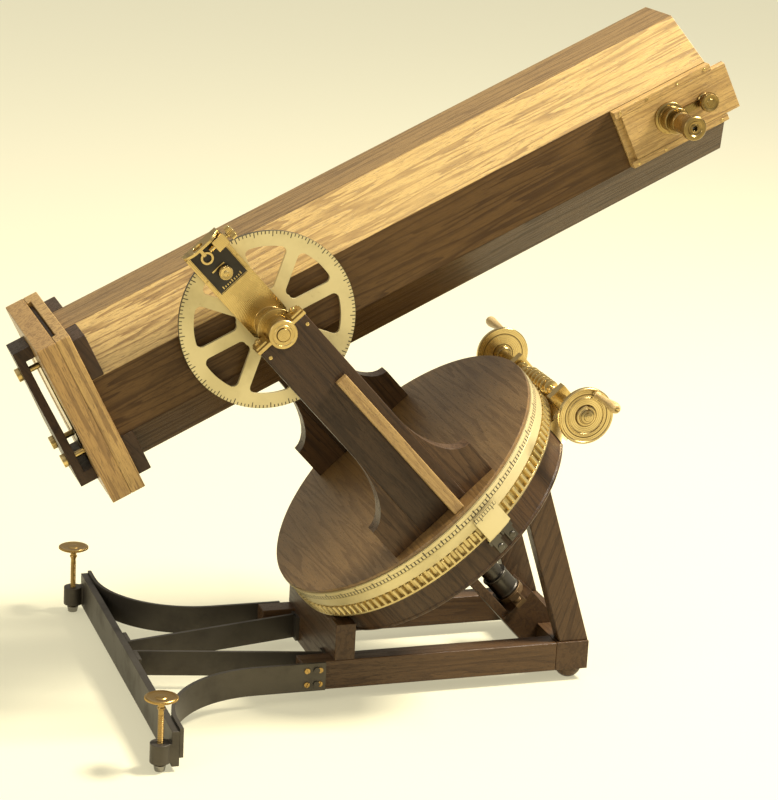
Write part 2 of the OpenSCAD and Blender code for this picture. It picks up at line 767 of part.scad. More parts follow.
module worm_bracket() color("gold") at_polar() difference() {
    union() {
        difference() {
            block([drum_r - bracket_in, bearing_near, drum_z1 - bracket_h], [worm_s - 3, bearing_far, drum_z1 - 2]);
            translate([0, 0, drum_z0 - 1]) cylinder(r = drum_r + seat, h = drum_h + 2);
        }
        for (y = [bearing_near, bearing_far - bearing_w])
            block([worm_s - 8, y, drum_z1 - bracket_h], [worm_s + 8, y + bearing_w, worm_z + 8]);
    }
    translate([worm_s, 0, worm_z]) along_y(bearing_near - 1)
        cylinder(r = worm_shaft_r + running, h = bearing_far - bearing_near + 2);
}

// A crank disc with raised rings and a stud for its handle, which points along -Y
module crank(turn) difference() {
    union() {
        cylinder(r = crank_r, h = crank_t);
        translate([0, 0, -4]) cylinder(r = 7, h = 4 + crank_t + 3);
        rotate([0, 0, turn]) translate([crank_r - 4.5, 0, 0])
            cylinder(r = stud_r, h = crank_t + handle_l + 1);
    }
    translate([0, 0, -5]) cylinder(r = worm_shaft_r + seat, h = crank_t + 20);
}

module crank_discs() color("gold") at_polar() translate([worm_s, 0, worm_z]) {
    translate([0, crank_near, 0]) rotate([90, 0, 0]) crank(near_handle_turn);
    translate([0, crank_far, 0]) rotate([-90, 0, 0]) crank(-far_handle_turn);
}

module handle() difference() {
    rotate_extrude() polygon([
        [0, 0], [3.2, 0], [3.2, 1.5], [2.5, 3], [2.5, 8], [3, 16], [3.8, 25], [4.5, handle_l - 8],
        [4.6, handle_l - 5], [3.9, handle_l - 1.5], [2.6, handle_l], [0, handle_l]
    ]);
    translate([0, 0, -1]) cylinder(r = stud_r + running, h = handle_l + 2);
}

module near_handle() color("sienna") at_polar() translate([worm_s, crank_near - crank_t - gap, worm_z])
    rotate([90, 0, 0]) rotate([0, 0, near_handle_turn]) translate([crank_r - 4.5, 0, 0]) handle();

module far_handle() color("sienna") at_polar() translate([worm_s, crank_far + crank_t + gap, worm_z])
    rotate([-90, 0, 0]) rotate([0, 0, -far_handle_turn]) translate([crank_r - 4.5, 0, 0]) handle();

// Stand

module side_rails() color("sienna") at_stand() both_sides()
    block([rail_x0, -stand_w / 2, rail_z0], [beam_x0, -rail_in, rail_z1]);

// The beam under the struts, the cradle board under the drum's rim and the domed feet
module cross_beams() color("sienna") at_stand() {
    block([beam_x0, -stand_w / 2, rail_z0], [beam_x1, stand_w / 2, rail_z1]);
    for (y = [-1, 1]) translate([beam_x1 - foot_in_x, y * (stand_w / 2 - foot_in_y), 0]) intersection() {
        translate([0, 0, foot_ball_r - 0.5]) sphere(r = foot_ball_r);
        cylinder(r = foot_r, h = rail_z0);
    }
    difference() {
        union() {
            block([cradle_x0, -rail_in, rail_z0], [cradle_x1, rail_in, rail_z1]);
            block([cradle_x0, -stand_w / 2, rail_z1], [cradle_x1, stand_w / 2, cradle_z]);
        }
        translate([-dec_x, 0, 0]) at_polar() translate([0, 0, drum_z0 - 2 * seat])
            cylinder(r = drum_r + 0.1, h = cut_l);
        translate([-dec_x, 0, 0]) at_polar() translate([0, 0, drum_z1 - 0.5])
            cylinder(r = wheel_pitch_r + tooth_up + wheel_room, h = cut_l);
    }
}

module struts() color("sienna") at_stand() both_sides() difference() {
    slab(-stand_w / 2 + 2, -stand_w / 2 + 2 + strut_t) polygon([
        [beam_x1 - strut_w, rail_z1], [beam_x1, rail_z1],
        [beam_x1 - strut_rise * strut_lean, rail_z1 + strut_rise],
        [beam_x1 - strut_w - strut_rise * strut_lean, rail_z1 + strut_rise]
    ]);
    translate([-dec_x, 0, 0]) at_polar() translate([-10, -stand_w, drum_z0])
        cube([cut_l, 2 * stand_w, cut_l]);
}

// The block that leans with the polar axis, notched over the beam
module polar_block() color("sienna") difference() {
    at_polar() {
        block([-block_back, -block_half_y, -lower_bearing_h - block_l],
            [block_half_s, block_half_y, -lower_bearing_h]);
        block([-block_back, -plank_half_y, -lower_bearing_h], [-block_back + plank_t, plank_half_y, drum_z0]);
    }
    at_polar() translate([0, 0, shaft_end - 2]) cylinder(r = polar_r + 0.5, h = 60);
    at_stand() block([beam_x0, -60, -40], [beam_x1 + 60, 60, rail_z1]);
    at_stand() block([0, -60, -60], [beam_x1 + 60, 60, rail_z0]);
}

module crossbar() color("dimgray") at_stand() {
    block([crossbar_x0, -crossbar_l / 2, crossbar_z0], [crossbar_x1, crossbar_l / 2, crossbar_z1]);
    for (y = [-level_span / 2, level_span / 2]) difference() {
        union() {
            translate([lug_x, y, lug_z0]) cylinder(r = lug_r, h = lug_z1 - lug_z0);
            block([lug_x, y - 5, lug_z0], [crossbar_x0 + 1, y + 5, lug_z1]);
        }
        translate([lug_x, y, lug_z0 - 1])
            cylinder(r = level_screw_r + running, h = lug_z1 - lug_z0 + 2);
    }
}

module iron_bands() color("dimgray") at_stand() both_sides() {
    y = -stand_w / 2;
    block([0, y - band_t, rail_z0 + 1], [rail_x0 + 20, y, rail_z1]);
    intersection() {
        translate([0, y - band_bend_r, rail_z0 + 1]) difference() {
            cylinder(r = band_bend_r, h = rail_h - 1);
            translate([0, 0, -1]) cylinder(r = band_bend_r - band_t, h = rail_h + 1);
        }
        block([-band_bend_r - 1, y - band_bend_r, 0], [0, y + 1, cut_l]);
    }
    block([-band_bend_r, -crossbar_l / 2, rail_z0 + 1],
        [-band_bend_r + band_t, y - band_bend_r, rail_z1]);
    brace_run = cradle_x0 - crossbar_x1;
    brace_rise = rail_in - 16;
    block([crossbar_x1, -30, rail_z0 + 2], [crossbar_x1 + band_t, -10, rail_z1 - 2]);
    translate([crossbar_x1, -12, rail_z0 + 2]) rotate([0, 0, -atan(brace_rise / brace_run)])
        cube([norm([brace_run, brace_rise]) - 2, band_t, rail_h - 4]);
    block([cradle_x0 - band_t, -rail_in, rail_z0 + 2], [cradle_x0, -rail_in + 16, rail_z1 - 2]);
    for (z = [rail_z0 + 7, rail_z1 - 6]) translate([rail_x0 + 12, 0, z])
        near_rod(2.6, -y + band_t, -y + band_t + 1.2);
}

module level_screw(side) at_stand() translate([lug_x, side * level_span / 2, 0]) {
    translate([0, 0, tip_h + 0.05]) cylinder(r = level_screw_r, h = level_top - 3 - tip_h);
    translate([0, 0, level_top - 5]) cylinder(r1 = 6, r2 = level_knob_r, h = 3);
    translate([0, 0, level_top - 2]) cylinder(r = level_knob_r, h = 2);
}

module tip(side) at_stand() translate([lug_x, side * level_span / 2, 0])
    cylinder(r1 = tip_r - 1, r2 = tip_r, h = tip_h);

module near_level_screw() color("goldenrod") level_screw(-1);

module far_level_screw() color("goldenrod") level_screw(1);

module near_tip() color("gray") tip(-1);

module far_tip() color("gray") tip(1);

top_stave();
front_stave();
bottom_stave();
back_stave();
upper_staves();
lower_staves();
corner_blocks();
box_front_board();
box_back_board();
dust_slide();
primary_mirror();
mirror_cell();
mirror_bridge();
collimation_screws();
slide_bed();
focus_rack();
eyepiece_board();
eyepiece_socket();
eyepiece_barrel();
eyepiece_lenses();
prism();
prism_arm();
focus_knob();
dec_circle();
trunnions();
trunnion_bushes();
bearing_caps();
cap_screws();
alidade();
vernier_plate();
clamp_screw();
tangent_screw();
near_arm();
far_arm();
near_wings();
far_wings();
fork_ribs();
hour_disc();
hour_circle();
worm_wheel();
polar_shaft();
polar_bush();
bed_drum();
hour_vernier();
worm();
worm_bracket();
crank_discs();
near_handle();
far_handle();
lower_bearing();
polar_block();
side_rails();
cross_beams();
struts();
crossbar();
iron_bands();
near_level_screw();
far_level_screw();
near_tip();
far_tip();
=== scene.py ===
import math

import bmesh
import bpy
from mathutils import Matrix, Vector


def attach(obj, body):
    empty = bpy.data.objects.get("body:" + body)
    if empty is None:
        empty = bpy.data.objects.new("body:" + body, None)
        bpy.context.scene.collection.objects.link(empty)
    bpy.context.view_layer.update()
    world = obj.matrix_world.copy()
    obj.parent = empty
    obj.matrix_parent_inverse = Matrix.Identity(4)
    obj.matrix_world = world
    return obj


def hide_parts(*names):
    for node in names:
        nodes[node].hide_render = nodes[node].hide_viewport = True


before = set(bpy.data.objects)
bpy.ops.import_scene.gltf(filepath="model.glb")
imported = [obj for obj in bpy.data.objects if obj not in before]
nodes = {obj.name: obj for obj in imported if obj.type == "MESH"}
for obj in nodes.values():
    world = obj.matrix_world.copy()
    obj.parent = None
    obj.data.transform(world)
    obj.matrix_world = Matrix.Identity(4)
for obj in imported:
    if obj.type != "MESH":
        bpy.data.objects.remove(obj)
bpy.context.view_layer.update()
scene = bpy.context.scene
scene.view_settings.view_transform = "Standard"  # keeps the deep browns deep
mm = 0.001
fullTurn = 2 * math.pi
print("frame loaded:", len(nodes), "nodes")

# the camera, fitted to the picture

camera = {"place": (-0.615085, -1.844662, 0.804890), "turn": 19.08, "down": 16.29, "roll": 3.0,
          "lens": 110.73, "sensor": 36, "clip": (0.05, 60)}


def makeCamera(look):
    turn, down, roll = (math.radians(look[key]) for key in ("turn", "down", "roll"))
    level = Vector((math.cos(turn), -math.sin(turn), 0))
    rise = Vector((math.sin(down) * math.sin(turn), math.sin(down) * math.cos(turn), math.cos(down)))
    back = Vector((-math.sin(turn) * math.cos(down), -math.cos(turn) * math.cos(down), math.sin(down)))
    right = math.cos(roll) * level + math.sin(roll) * rise
    top = math.cos(roll) * rise - math.sin(roll) * level
    lens = bpy.data.cameras.new("viewer")
    lens.lens, lens.sensor_width = look["lens"], look["sensor"]
    lens.clip_start, lens.clip_end = look["clip"]
    eye = bpy.data.objects.new("viewer", lens)
    scene.collection.objects.link(eye)
    eye.matrix_world = Matrix.Translation(look["place"]) @ Matrix((right, top, back)).transposed().to_4x4()
    scene.camera = eye


# shader sums written as plain Python


class Value:
    def __init__(self, tree, socket):
        self.tree, self.socket = tree, socket

    def math(self, kind, *parts):
        return self.tree.add("Math", {"operation": kind}, dict(enumerate(parts)))

    def to(self, kind, *others):
        return self.math(kind, self, *others)

    def __add__(self, other):
        return self.math("ADD", self, other)

    def __sub__(self, other):
        return self.math("SUBTRACT", self, other)

    def __rsub__(self, other):
        return self.math("SUBTRACT", other, self)

    def __mul__(self, other):
        return self.math("MULTIPLY", self, other)

    def __truediv__(self, other):
        return self.math("DIVIDE", self, other)

    def __rtruediv__(self, other):
        return self.math("DIVIDE", other, self)

    def __gt__(self, other):
        return self.math("GREATER_THAN", self, other)

    def __lt__(self, other):
        return self.math("LESS_THAN", self, other)

    def __abs__(self):
        return self.math("ABSOLUTE", self)

    __radd__, __rmul__ = __add__, __mul__


class Tree:
    # the nodes of a material or of the world
    def __init__(self, owner):
        owner.use_nodes = True
        self.owner, self.nodes, self.links = owner, owner.node_tree.nodes, owner.node_tree.links

    def add(self, kind, settings=None, sockets=None, out=0):
        made = self.nodes.new("ShaderNode" + kind)
        for key, value in (settings or {}).items():
            if key == "stops":
                while len(made.color_ramp.elements) < len(value):
                    made.color_ramp.elements.new(0.5)
                for stop, (place, tint) in zip(made.color_ramp.elements, value):
                    stop.position, stop.color = place, (*tint, 1)
            else:
                setattr(made, key, value)
        for key, value in (sockets or {}).items():
            self.feed(made.inputs[key], value)
        return Value(self, made.outputs[out])

    def feed(self, socket, value):
        if isinstance(value, Value):
            self.links.new(value.socket, socket)
        elif isinstance(value, tuple) and len(value) == 3 and socket.type == "RGBA":
            socket.default_value = (*value, 1)
        else:
            socket.default_value = value

    def split(self, where):
        parts = self.add("SeparateXYZ", {}, {0: where}).socket.node
        return [Value(self, part) for part in parts.outputs]


class Paint(Tree):
    def __init__(self, name):
        super().__init__(bpy.data.materials.new(name))

    def surface(self, **sockets):
        for name, value in sockets.items():
            self.feed(self.nodes["Principled BSDF"].inputs[name.replace("_", " ")], value)
        return self.owner

    def place(self, turn=0.0, origin=(0, 0, 0)):
        # object space, turned about y and counted from an origin
        where = self.add("TexCoord", out=3)
        back = Matrix.Rotation(math.radians(turn), 3, "Y") @ Vector(origin)
        shift = {"Vector": where, "Location": tuple(-back), "Rotation": (0, math.radians(turn), 0)}
        return self.add("Mapping", {}, shift)

    def vector(self, kind, one, two):
        return self.add("VectorMath", {"operation": kind}, {0: one, 1: two})

    def noise(self, where, scale, detail=3.0, rough=0.55, warp=0.0):
        sockets = {"Vector": where, "Scale": scale, "Detail": detail, "Roughness": rough, "Distortion": warp}
        return self.add("TexNoise", {}, sockets)

    def blend(self, share, first, second):
        return self.add("Mix", {"data_type": "RGBA"}, {0: share, 6: first, 7: second}, out=2)

    def step(self, share, low, high):
        return self.add("MapRange", {"interpolation_type": "SMOOTHSTEP"}, {0: share, 1: low, 2: high})

    def relief(self, height, depth, strength):
        return self.add("Bump", {}, {"Height": height, "Distance": depth, "Strength": strength})


# light from the upper right, a weak lamp from the left and a soft sky

lamps = {
    "key": {"from": (1.5, -0.45, 2.4), "size": 0.6, "power": 190, "tint": (1.0, 0.95, 0.84)},
    "side": {"from": (-2.4, -1.2, 1.5), "size": 0.8, "power": 15, "tint": (1.0, 0.96, 0.88)},
}
lampAim = Vector((0, 0, 0.28))
sky = {"stops": ((0.04, (0.88, 0.83, 0.62)), (0.26, (0.4, 0.35, 0.25)), (1.0, (1, 1, 1))), "power": 0.86}


def makeLamp(name, look):
    lamp = bpy.data.lights.new(name + "Lamp", "AREA")
    lamp.energy, lamp.size, lamp.color = look["power"], look["size"], look["tint"]
    lit = bpy.data.objects.new(name + "Lamp", lamp)
    scene.collection.objects.link(lit)
    lit.location = look["from"]
    lit.rotation_euler = (Vector(look["from"]) - lampAim).to_track_quat("Z", "Y").to_euler()


def makeSky(look):
    world = bpy.data.worlds.new("studio")
    tree = Tree(world)
    height = tree.split(tree.add("TexCoord"))[2]
    dome = tree.nodes["Background"]
    tree.feed(dome.inputs["Color"], tree.add("ValToRGB", {"stops": look["stops"]}, {0: height}))
    tree.feed(dome.inputs["Strength"], look["power"])
    scene.world = world


makeCamera(camera)
for lampName, lampLook in lamps.items():
    makeLamp(lampName, lampLook)
makeSky(sky)
print("camera and lights set")

# where things are: the declination axis, the tube, the fork's top and the polar axis

axes = {"decX": -103.57913, "decZ": 325.0, "tubeTilt": 26.5, "tubeDrop": 6.0,
        "polarTilt": 47.5, "forkHeight": 206.0}
decOrigin = (axes["decX"] * mm, 0, axes["decZ"] * mm)
tubeTurn = axes["tubeTilt"]
polarTurn = 90 - axes["polarTilt"]
trunnion = Matrix.Translation(decOrigin)
tubeTop = trunnion @ Matrix.Rotation(math.radians(-tubeTurn), 4, "Y")
tube = tubeTop @ Matrix.Translation((0, 0, -axes["tubeDrop"] * mm))
forkTop = trunnion @ Matrix.Rotation(math.radians(-polarTurn), 4, "Y")
polar = forkTop @ Matrix.Translation((0, 0, -axes["forkHeight"] * mm))
stand = Matrix.Translation((axes["decX"] * mm, 0, 0))
finish = {}

# woods; "along" is the way the grain runs, "blackWithin" the blackened inside of the tube

grain = {"along": 0.6, "across": 12, "late": (0.35, 0.92), "lateEnd": (0.93, 1.0),
         "fibre": 26, "fibreStep": (0.4, 0.72), "fibreShare": 0.5,
         "pores": 50, "poreStep": (0.56, 0.68), "poreShare": 0.65,
         "tone": 9, "toneStep": (0.3, 0.75), "toneShare": 0.3,
         "worn": 34, "wornStep": (0.62, 0.8), "wornShare": 0.16,
         "soot": (0.014, 0.012, 0.01), "depth": 0.00035, "strength": 0.55, "coatRough": 0.25}


def wood(name, look):
    paint = Paint(name)
    base = paint.place(look.get("turn", 0), look.get("origin", (0, 0, 0)))
    stretch = tuple(grain["along"] if axis == look["along"] else grain["across"] for axis in "xyz")
    where = paint.vector("ADD", paint.vector("MULTIPLY", base, stretch), look.get("shift", (0, 0, 0)))
    figure = paint.noise(where, look["figure"], 3, 0.5, 0.2)
    bands = (figure * look["bands"]).to("FRACT")
    late = paint.step(bands, *grain["late"]) * (1 - paint.step(bands, *grain["lateEnd"]))
    fibre = paint.noise(where, look["figure"] * grain["fibre"], 4, 0.62)
    pores = paint.step(paint.noise(where, look["figure"] * grain["pores"], 2, 0.5), *grain["poreStep"])
    tone = paint.noise(base, grain["tone"], 2, 0.5)
    worn = paint.step(paint.noise(base, grain["worn"], 5, 0.65), *grain["wornStep"])
    body = paint.blend(late * look.get("contrast", 0.75), look["light"], look["dark"])
    body = paint.blend(paint.step(fibre, *grain["fibreStep"]) * grain["fibreShare"], body, look["dark"])
    body = paint.blend(pores * grain["poreShare"], body, look["pore"])
    body = paint.blend(paint.step(tone, *grain["toneStep"]) * grain["toneShare"], body, look["light"])
    body = paint.blend(worn * grain["wornShare"], body, look["pore"])
    if "blackWithin" in look:
        acrossTube, upTube = paint.split(base)[1:]
        across, up = abs(acrossTube), abs(upTube + axes["tubeDrop"] * mm)
        reach = across.to("MAXIMUM", up).to("MAXIMUM", (across + up) * math.sqrt(0.5))  # eight-sided
        body = paint.blend(reach < look["blackWithin"] * mm, body, grain["soot"])
    height = 0.5 - late * 0.25 - pores * 0.6 + fibre * 0.25
    return paint.surface(
        Base_Color=body, Roughness=0.34 + late * 0.1 + worn * 0.22 + pores * 0.15,
        Normal=paint.relief(height, grain["depth"], grain["strength"]),
        Coat_Weight=look.get("varnish", 0.2), Coat_Roughness=grain["coatRough"],
        Specular_IOR_Level=look.get("gloss", 0.4))


honey = {"light": (0.43, 0.265, 0.085), "dark": (0.17, 0.088, 0.026), "pore": (0.04, 0.019, 0.007),
         "figure": 5.2, "bands": 9, "contrast": 0.8}
walnut = {"light": (0.052, 0.027, 0.012), "dark": (0.017, 0.008, 0.004), "pore": (0.007, 0.004, 0.002),
          "figure": 5.6, "bands": 8, "contrast": 0.7, "varnish": 0.05, "gloss": 0.25}
russet = {"light": (0.2, 0.115, 0.04), "dark": (0.088, 0.045, 0.015), "pore": (0.026, 0.012, 0.005),
          "figure": 4.6, "bands": 9, "contrast": 0.65}
onTube = {"turn": tubeTurn, "origin": decOrigin}
onFork = {"turn": polarTurn, "origin": decOrigin, "along": "z"}
stave = {**honey, **onTube, "along": "x", "blackWithin": 53.4}
box = {**honey, **onTube, "along": "z"}
woods = {
    "staveHoney": stave,
    # the front stave's wood, darkened to a near black-brown: painted shade
    "staveFrontPaintedShade": {**stave, "shift": (3.1, 1.7, 5.2), "light": (0.105, 0.056, 0.019), "dark": (0.036, 0.017, 0.006),
                   "varnish": 0.02, "gloss": 0.15},
    "staveGold": {**stave, "shift": (7.4, 4.1, 0.6), "light": (0.52, 0.35, 0.125)},
    # the lower staves' wood, darkened further still: painted shade
    "staveLowerPaintedShade": {**stave, "shift": (5.7, 6.1, 2.6), "light": (0.085, 0.045, 0.015), "dark": (0.028, 0.013, 0.005),
                   "varnish": 0.02, "gloss": 0.12},
    "staveOlive": {**stave, "shift": (8.7, 3.1, 6.6), "light": (0.25, 0.148, 0.047), "dark": (0.095, 0.05, 0.015)},
    "boxHoney": {**box, "shift": (2.2, 0.9, 1.3)},
    "boxAmber": {**box, "shift": (6.2, 3.9, 4.3), "light": (0.36, 0.21, 0.064)},
    "boardGold": {**honey, **onTube, "along": "x", "shift": (1.2, 8.9, 2.3),
                  "light": (0.5, 0.32, 0.11), "dark": (0.24, 0.13, 0.04), "figure": 7.5},
    "forkWalnut": {**walnut, **onFork},
    "wingWalnut": {**walnut, **onFork, "shift": (4.2, 2.9, 1.3), "light": (0.09, 0.047, 0.02)},
    "ribOak": {**russet, **onFork, "shift": (4.2, 0.9, 1.3), "light": (0.36, 0.225, 0.08), "dark": (0.17, 0.09, 0.028)},
    "discRusset": {**russet, **onFork, "along": "y"},
    "drumWalnut": {**walnut, **onFork, "shift": (1.2, 0.4, 7.3), "light": (0.07, 0.037, 0.016)},
    "railWalnut": {**walnut, "along": "x", "light": (0.09, 0.048, 0.02), "dark": (0.034, 0.016, 0.007)},
    "beamWalnut": {**walnut, "along": "y", "light": (0.08, 0.042, 0.017), "dark": (0.03, 0.014, 0.006)},
    "strutWalnut": {**walnut, "along": "z", "turn": -18, "light": (0.085, 0.045, 0.019), "dark": (0.032, 0.015, 0.006)},
    "handleBoxwood": {**honey, "along": "y", "light": (0.6, 0.43, 0.18), "dark": (0.4, 0.25, 0.09),
                      "figure": 14, "contrast": 0.5},
}
for woodName, woodLook in woods.items():
    finish[woodName] = wood(woodName, woodLook)

# metals; "rings" are lathe marks round y, "rows" and "lines" are engraved divisions in millimetres

patina = {"cloud": 30, "tarnishStep": (0.42, 0.74), "tarnishShare": 0.45, "speck": 420, "stainStep": (0.6, 0.78),
          "stainShare": 0.6, "paintedShadeShare": 0.85, "strength": 0.4,
          "ink": (0.02, 0.016, 0.01), "inkShare": 0.92, "inkDepth": 3, "lineHalf": 0.16}


def metal(name, look):
    paint = Paint(name)
    base = paint.place(look.get("turn", 0), look.get("origin", (0, 0, 0)))
    cloud = paint.noise(base, patina["cloud"], 4, 0.6)
    speck = paint.noise(base, patina["speck"], 3, 0.7)
    tarnish = paint.step(cloud, *patina["tarnishStep"])
    stain = paint.step(speck, *patina["stainStep"]) * tarnish
    body = paint.blend(tarnish * patina["tarnishShare"], look["bright"], look["dull"])
    body = paint.blend(stain * patina["stainShare"], body, look["spot"])
    height = speck * 0.5
    if "rings" in look:
        x, y, z = paint.split(base)
        reach = (x * x + z * z).to("SQRT")
        wave = (reach * look["rings"]).to("SINE")
        height = height + wave * 0.5
        body = paint.blend(paint.step(wave, 0.1, 0.9) * look.get("ringShade", 0.25), body, look["spot"])
        # painted shade: dark bands at given radii, standing in for the shade in turned grooves
        for low, high in look.get("paintedShadeRings", ()):
            body = paint.blend(between(reach, low, high) * patina["paintedShadeShare"], body, look["spot"])
    if "rows" in look:
        mark = dialMarks(paint, base, look)
        body = paint.blend(mark * patina["inkShare"], body, patina["ink"])
        height = height - mark * patina["inkDepth"]
    return paint.surface(
        Base_Color=body, Metallic=look.get("metallic", 1.0), Roughness=look["rough"] + tarnish * 0.14 + stain * 0.2,
        Normal=paint.relief(height, look.get("depth", 0.00006), patina["strength"]))


def between(reach, low, high):
    return (reach > low * mm) * (reach < high * mm)


def dialMarks(paint, base, look):
    # a dial across y is read by its radius, a ring round z by its height
    x, y, z = paint.split(base)
    if look["axis"] == "y":
        angle, reach = z.to("ARCTAN2", x), (x * x + z * z).to("SQRT")
    else:
        angle, reach = y.to("ARCTAN2", x), z
    degrees = angle * (180 / math.pi)
    marks = []
    for period, low, high in look["rows"]:
        off = abs((degrees / period + 0.5).to("FRACT") - 0.5)
        marks.append((off < look["half"] / period) * between(reach, low, high))
    for line in look.get("lines", ()):
        marks.append(between(reach, line - patina["lineHalf"], line + patina["lineHalf"]))
    mark = marks[0]
    for other in marks[1:]:
        mark = mark.to("MAXIMUM", other)
    return mark


brass = {"bright": (0.6, 0.44, 0.18), "dull": (0.3, 0.205, 0.075), "spot": (0.085, 0.05, 0.018), "rough": 0.22}
pale = {"bright": (0.6, 0.5, 0.26), "dull": (0.43, 0.345, 0.165), "spot": (0.26, 0.18, 0.07), "rough": 0.38,
        "metallic": 0.45}
iron = {"bright": (0.085, 0.073, 0.056), "dull": (0.04, 0.033, 0.025), "spot": (0.075, 0.034, 0.014), "rough": 0.46,
        "metallic": 0.75, "depth": 0.0002}
steel = {"bright": (0.26, 0.245, 0.22), "dull": (0.15, 0.135, 0.115), "spot": (0.16, 0.12, 0.08), "rough": 0.3}
dial = {**pale, "depth": 0.0001}
turnedBrass = {**brass, "rings": 5200}
eyepieceAxis = tuple(tube @ Vector((362 * mm, 0, 0)))
wormAxis = tuple(polar @ Vector((137 * mm, 0, -26 * mm)))
metals = {
    "brassPlain": brass,
    "brassTurned": {**turnedBrass, "turn": tubeTurn, "origin": eyepieceAxis,
                    "bright": (0.34, 0.235, 0.085), "dull": (0.15, 0.097, 0.034)},
    "brassCrank": {**turnedBrass, "turn": polarTurn, "origin": wormAxis, "bright": (0.62, 0.47, 0.21), "rings": 4200,
                   "depth": 0.00012, "rough": 0.25, "ringShade": 0.35,
                   # the crank discs' dark bands are painted shade
                   "paintedShadeRings": ((5.3, 5.9), (8.3, 9.3), (17.4, 18.4))},
    "brassHub": {**turnedBrass, "turn": polarTurn, "origin": decOrigin},
    "wheelBrass": {**pale, "bright": (0.56, 0.44, 0.2), "dull": (0.32, 0.23, 0.09), "metallic": 0.8, "rough": 0.34},
    "shaftBlack": {**steel, "bright": (0.1, 0.09, 0.075), "dull": (0.05, 0.044, 0.036), "rough": 0.34},
    "bandIron": iron,
    "shaftSteel": steel,
    "screwBronze": {**brass, "bright": (0.42, 0.27, 0.09), "dull": (0.2, 0.12, 0.04), "rough": 0.3},
    "darkBronze": {**iron, "bright": (0.16, 0.1, 0.045), "dull": (0.075, 0.045, 0.02)},
    # black finish for the sheet in the alidade window: painted shade
    "windowPaintedShade": {**iron, "bright": (0.03, 0.024, 0.016), "dull": (0.014, 0.011, 0.008), "metallic": 0.4},
    "circleSilvered": {**dial, **onTube, "axis": "y", "half": 0.34,
                       "rows": ((2.5, 68.5, 70.8), (12.5, 66.6, 70.8)), "lines": (71.0,)},
    "hourSilvered": {**dial, "turn": polarTurn, "origin": tuple(polar.translation), "axis": "z", "half": 0.25,
                     "rows": ((1.5, -10.2, -7.2), (7.5, -10.2, -5.6), (15, -10.2, -4.4)),
                     "lines": (-3.5, -7.1, -10.3)},
    "vernierSilvered": {**dial, "turn": polarTurn, "origin": decOrigin, "axis": "y", "half": 0.17,
                        "rows": ((1.25, 71.6, 74.6), (6.25, 71.6, 76.8))},
    "hourVernierSilvered": {**dial, "turn": polarTurn, "origin": tuple(polar.translation), "axis": "z", "half": 0.17,
                            "rows": ((1.1, -14.4, -11.7), (5.5, -16.6, -11.7)), "lines": (-11.5, -14.6)},
}
for metalName, metalLook in metals.items():
    finish[metalName] = metal(metalName, metalLook)

# glass, the mirror's silver and the floor

glass = {"tint": (0.94, 0.97, 0.95), "bend": 1.52}
silver = {"bright": (0.9, 0.9, 0.88), "dull": (0.72, 0.7, 0.62)}
floor = {"tint": (0.4, 0.37, 0.25), "worn": (0.36, 0.333, 0.225), "glow": (0.45, 0.42, 0.29),
         "half": 9.0, "below": 0.0004}  # a hair under the feet


def glassFinish(name, look):
    paint = Paint(name)
    haze = paint.noise(paint.place(), 60, 2)
    return paint.surface(Base_Color=look["tint"], Roughness=haze * 0.06, IOR=look["bend"], Transmission_Weight=1.0)


def mirrorFinish(name, look):
    paint = Paint(name)
    haze = paint.step(paint.noise(paint.place(), 25, 4), 0.45, 0.85)
    body = paint.blend(haze * 0.4, look["bright"], look["dull"])
    return paint.surface(Base_Color=body, Metallic=1.0, Roughness=0.02 + haze * 0.05)


def floorFinish(name, look):
    paint = Paint(name)
    body = paint.blend(paint.noise(paint.place(), 3, 4) * 0.12, look["tint"], look["worn"])
    return paint.surface(Base_Color=body, Roughness=0.9, Emission_Color=look["glow"], Emission_Strength=1.0)


def makeFloor(look):
    half = look["half"]
    form = bmesh.new()
    corners = ((-half, -half, 0), (half, -half, 0), (half, half, 0), (-half, half, 0))
    form.faces.new([form.verts.new(corner) for corner in corners])
    mesh = bpy.data.meshes.new("floor")
    form.to_mesh(mesh)
    form.free()
    mesh.materials.append(floorFinish("creamFloor", look))
    ground = bpy.data.objects.new("floor", mesh)
    ground.location.z = -look["below"]
    scene.collection.objects.link(ground)


finish["lensGlass"] = glassFinish("lensGlass", glass)
finish["silveredMirror"] = mirrorFinish("silveredMirror", silver)
makeFloor(floor)
print("finishes made:", len(finish))

# lines that shapes are drawn from, as points in millimetres


def spot(reach, turn, *height):
    return (reach * math.cos(turn), reach * math.sin(turn), *height)


def soften(profile, reach, steps=3):
    # rounds the inner corners of a line of (radius, height) points
    out = [profile[0]]
    for before, here, after in zip(profile, profile[1:], profile[2:]):
        before, here, after = Vector(before), Vector(here), Vector(after)
        a, b = before - here, after - here
        cut = min(reach, a.length * 0.45, b.length * 0.45)
        start, end = here + a.normalized() * cut, here + b.normalized() * cut
        for i in range(steps + 1):
            t = i / steps
            out.append(tuple(start * (1 - t) ** 2 + here * 2 * t * (1 - t) + end * t * t))
    return out + [profile[-1]]


def circleLine(radius, count=96, centre=(0, 0), turn=0.0):
    line = [spot(radius, fullTurn * i / count + turn) for i in range(count)]
    return [(centre[0] + x, centre[1] + y) for x, y in line]


def fluted(radius, depth, count, each=4):
    turns = [fullTurn * i / (count * each) for i in range(count * each)]
    return [spot(radius - depth * (0.5 - 0.5 * math.cos(turn * count)), turn) for turn in turns]


def toothed(count, pitchR, tooth, turn=0.0):
    # a gear's outline from one tooth's (radius, half width at the pitch line) points
    return [spot(reach, fullTurn * i / count + half / pitchR + turn) for i in range(count) for reach, half in tooth]


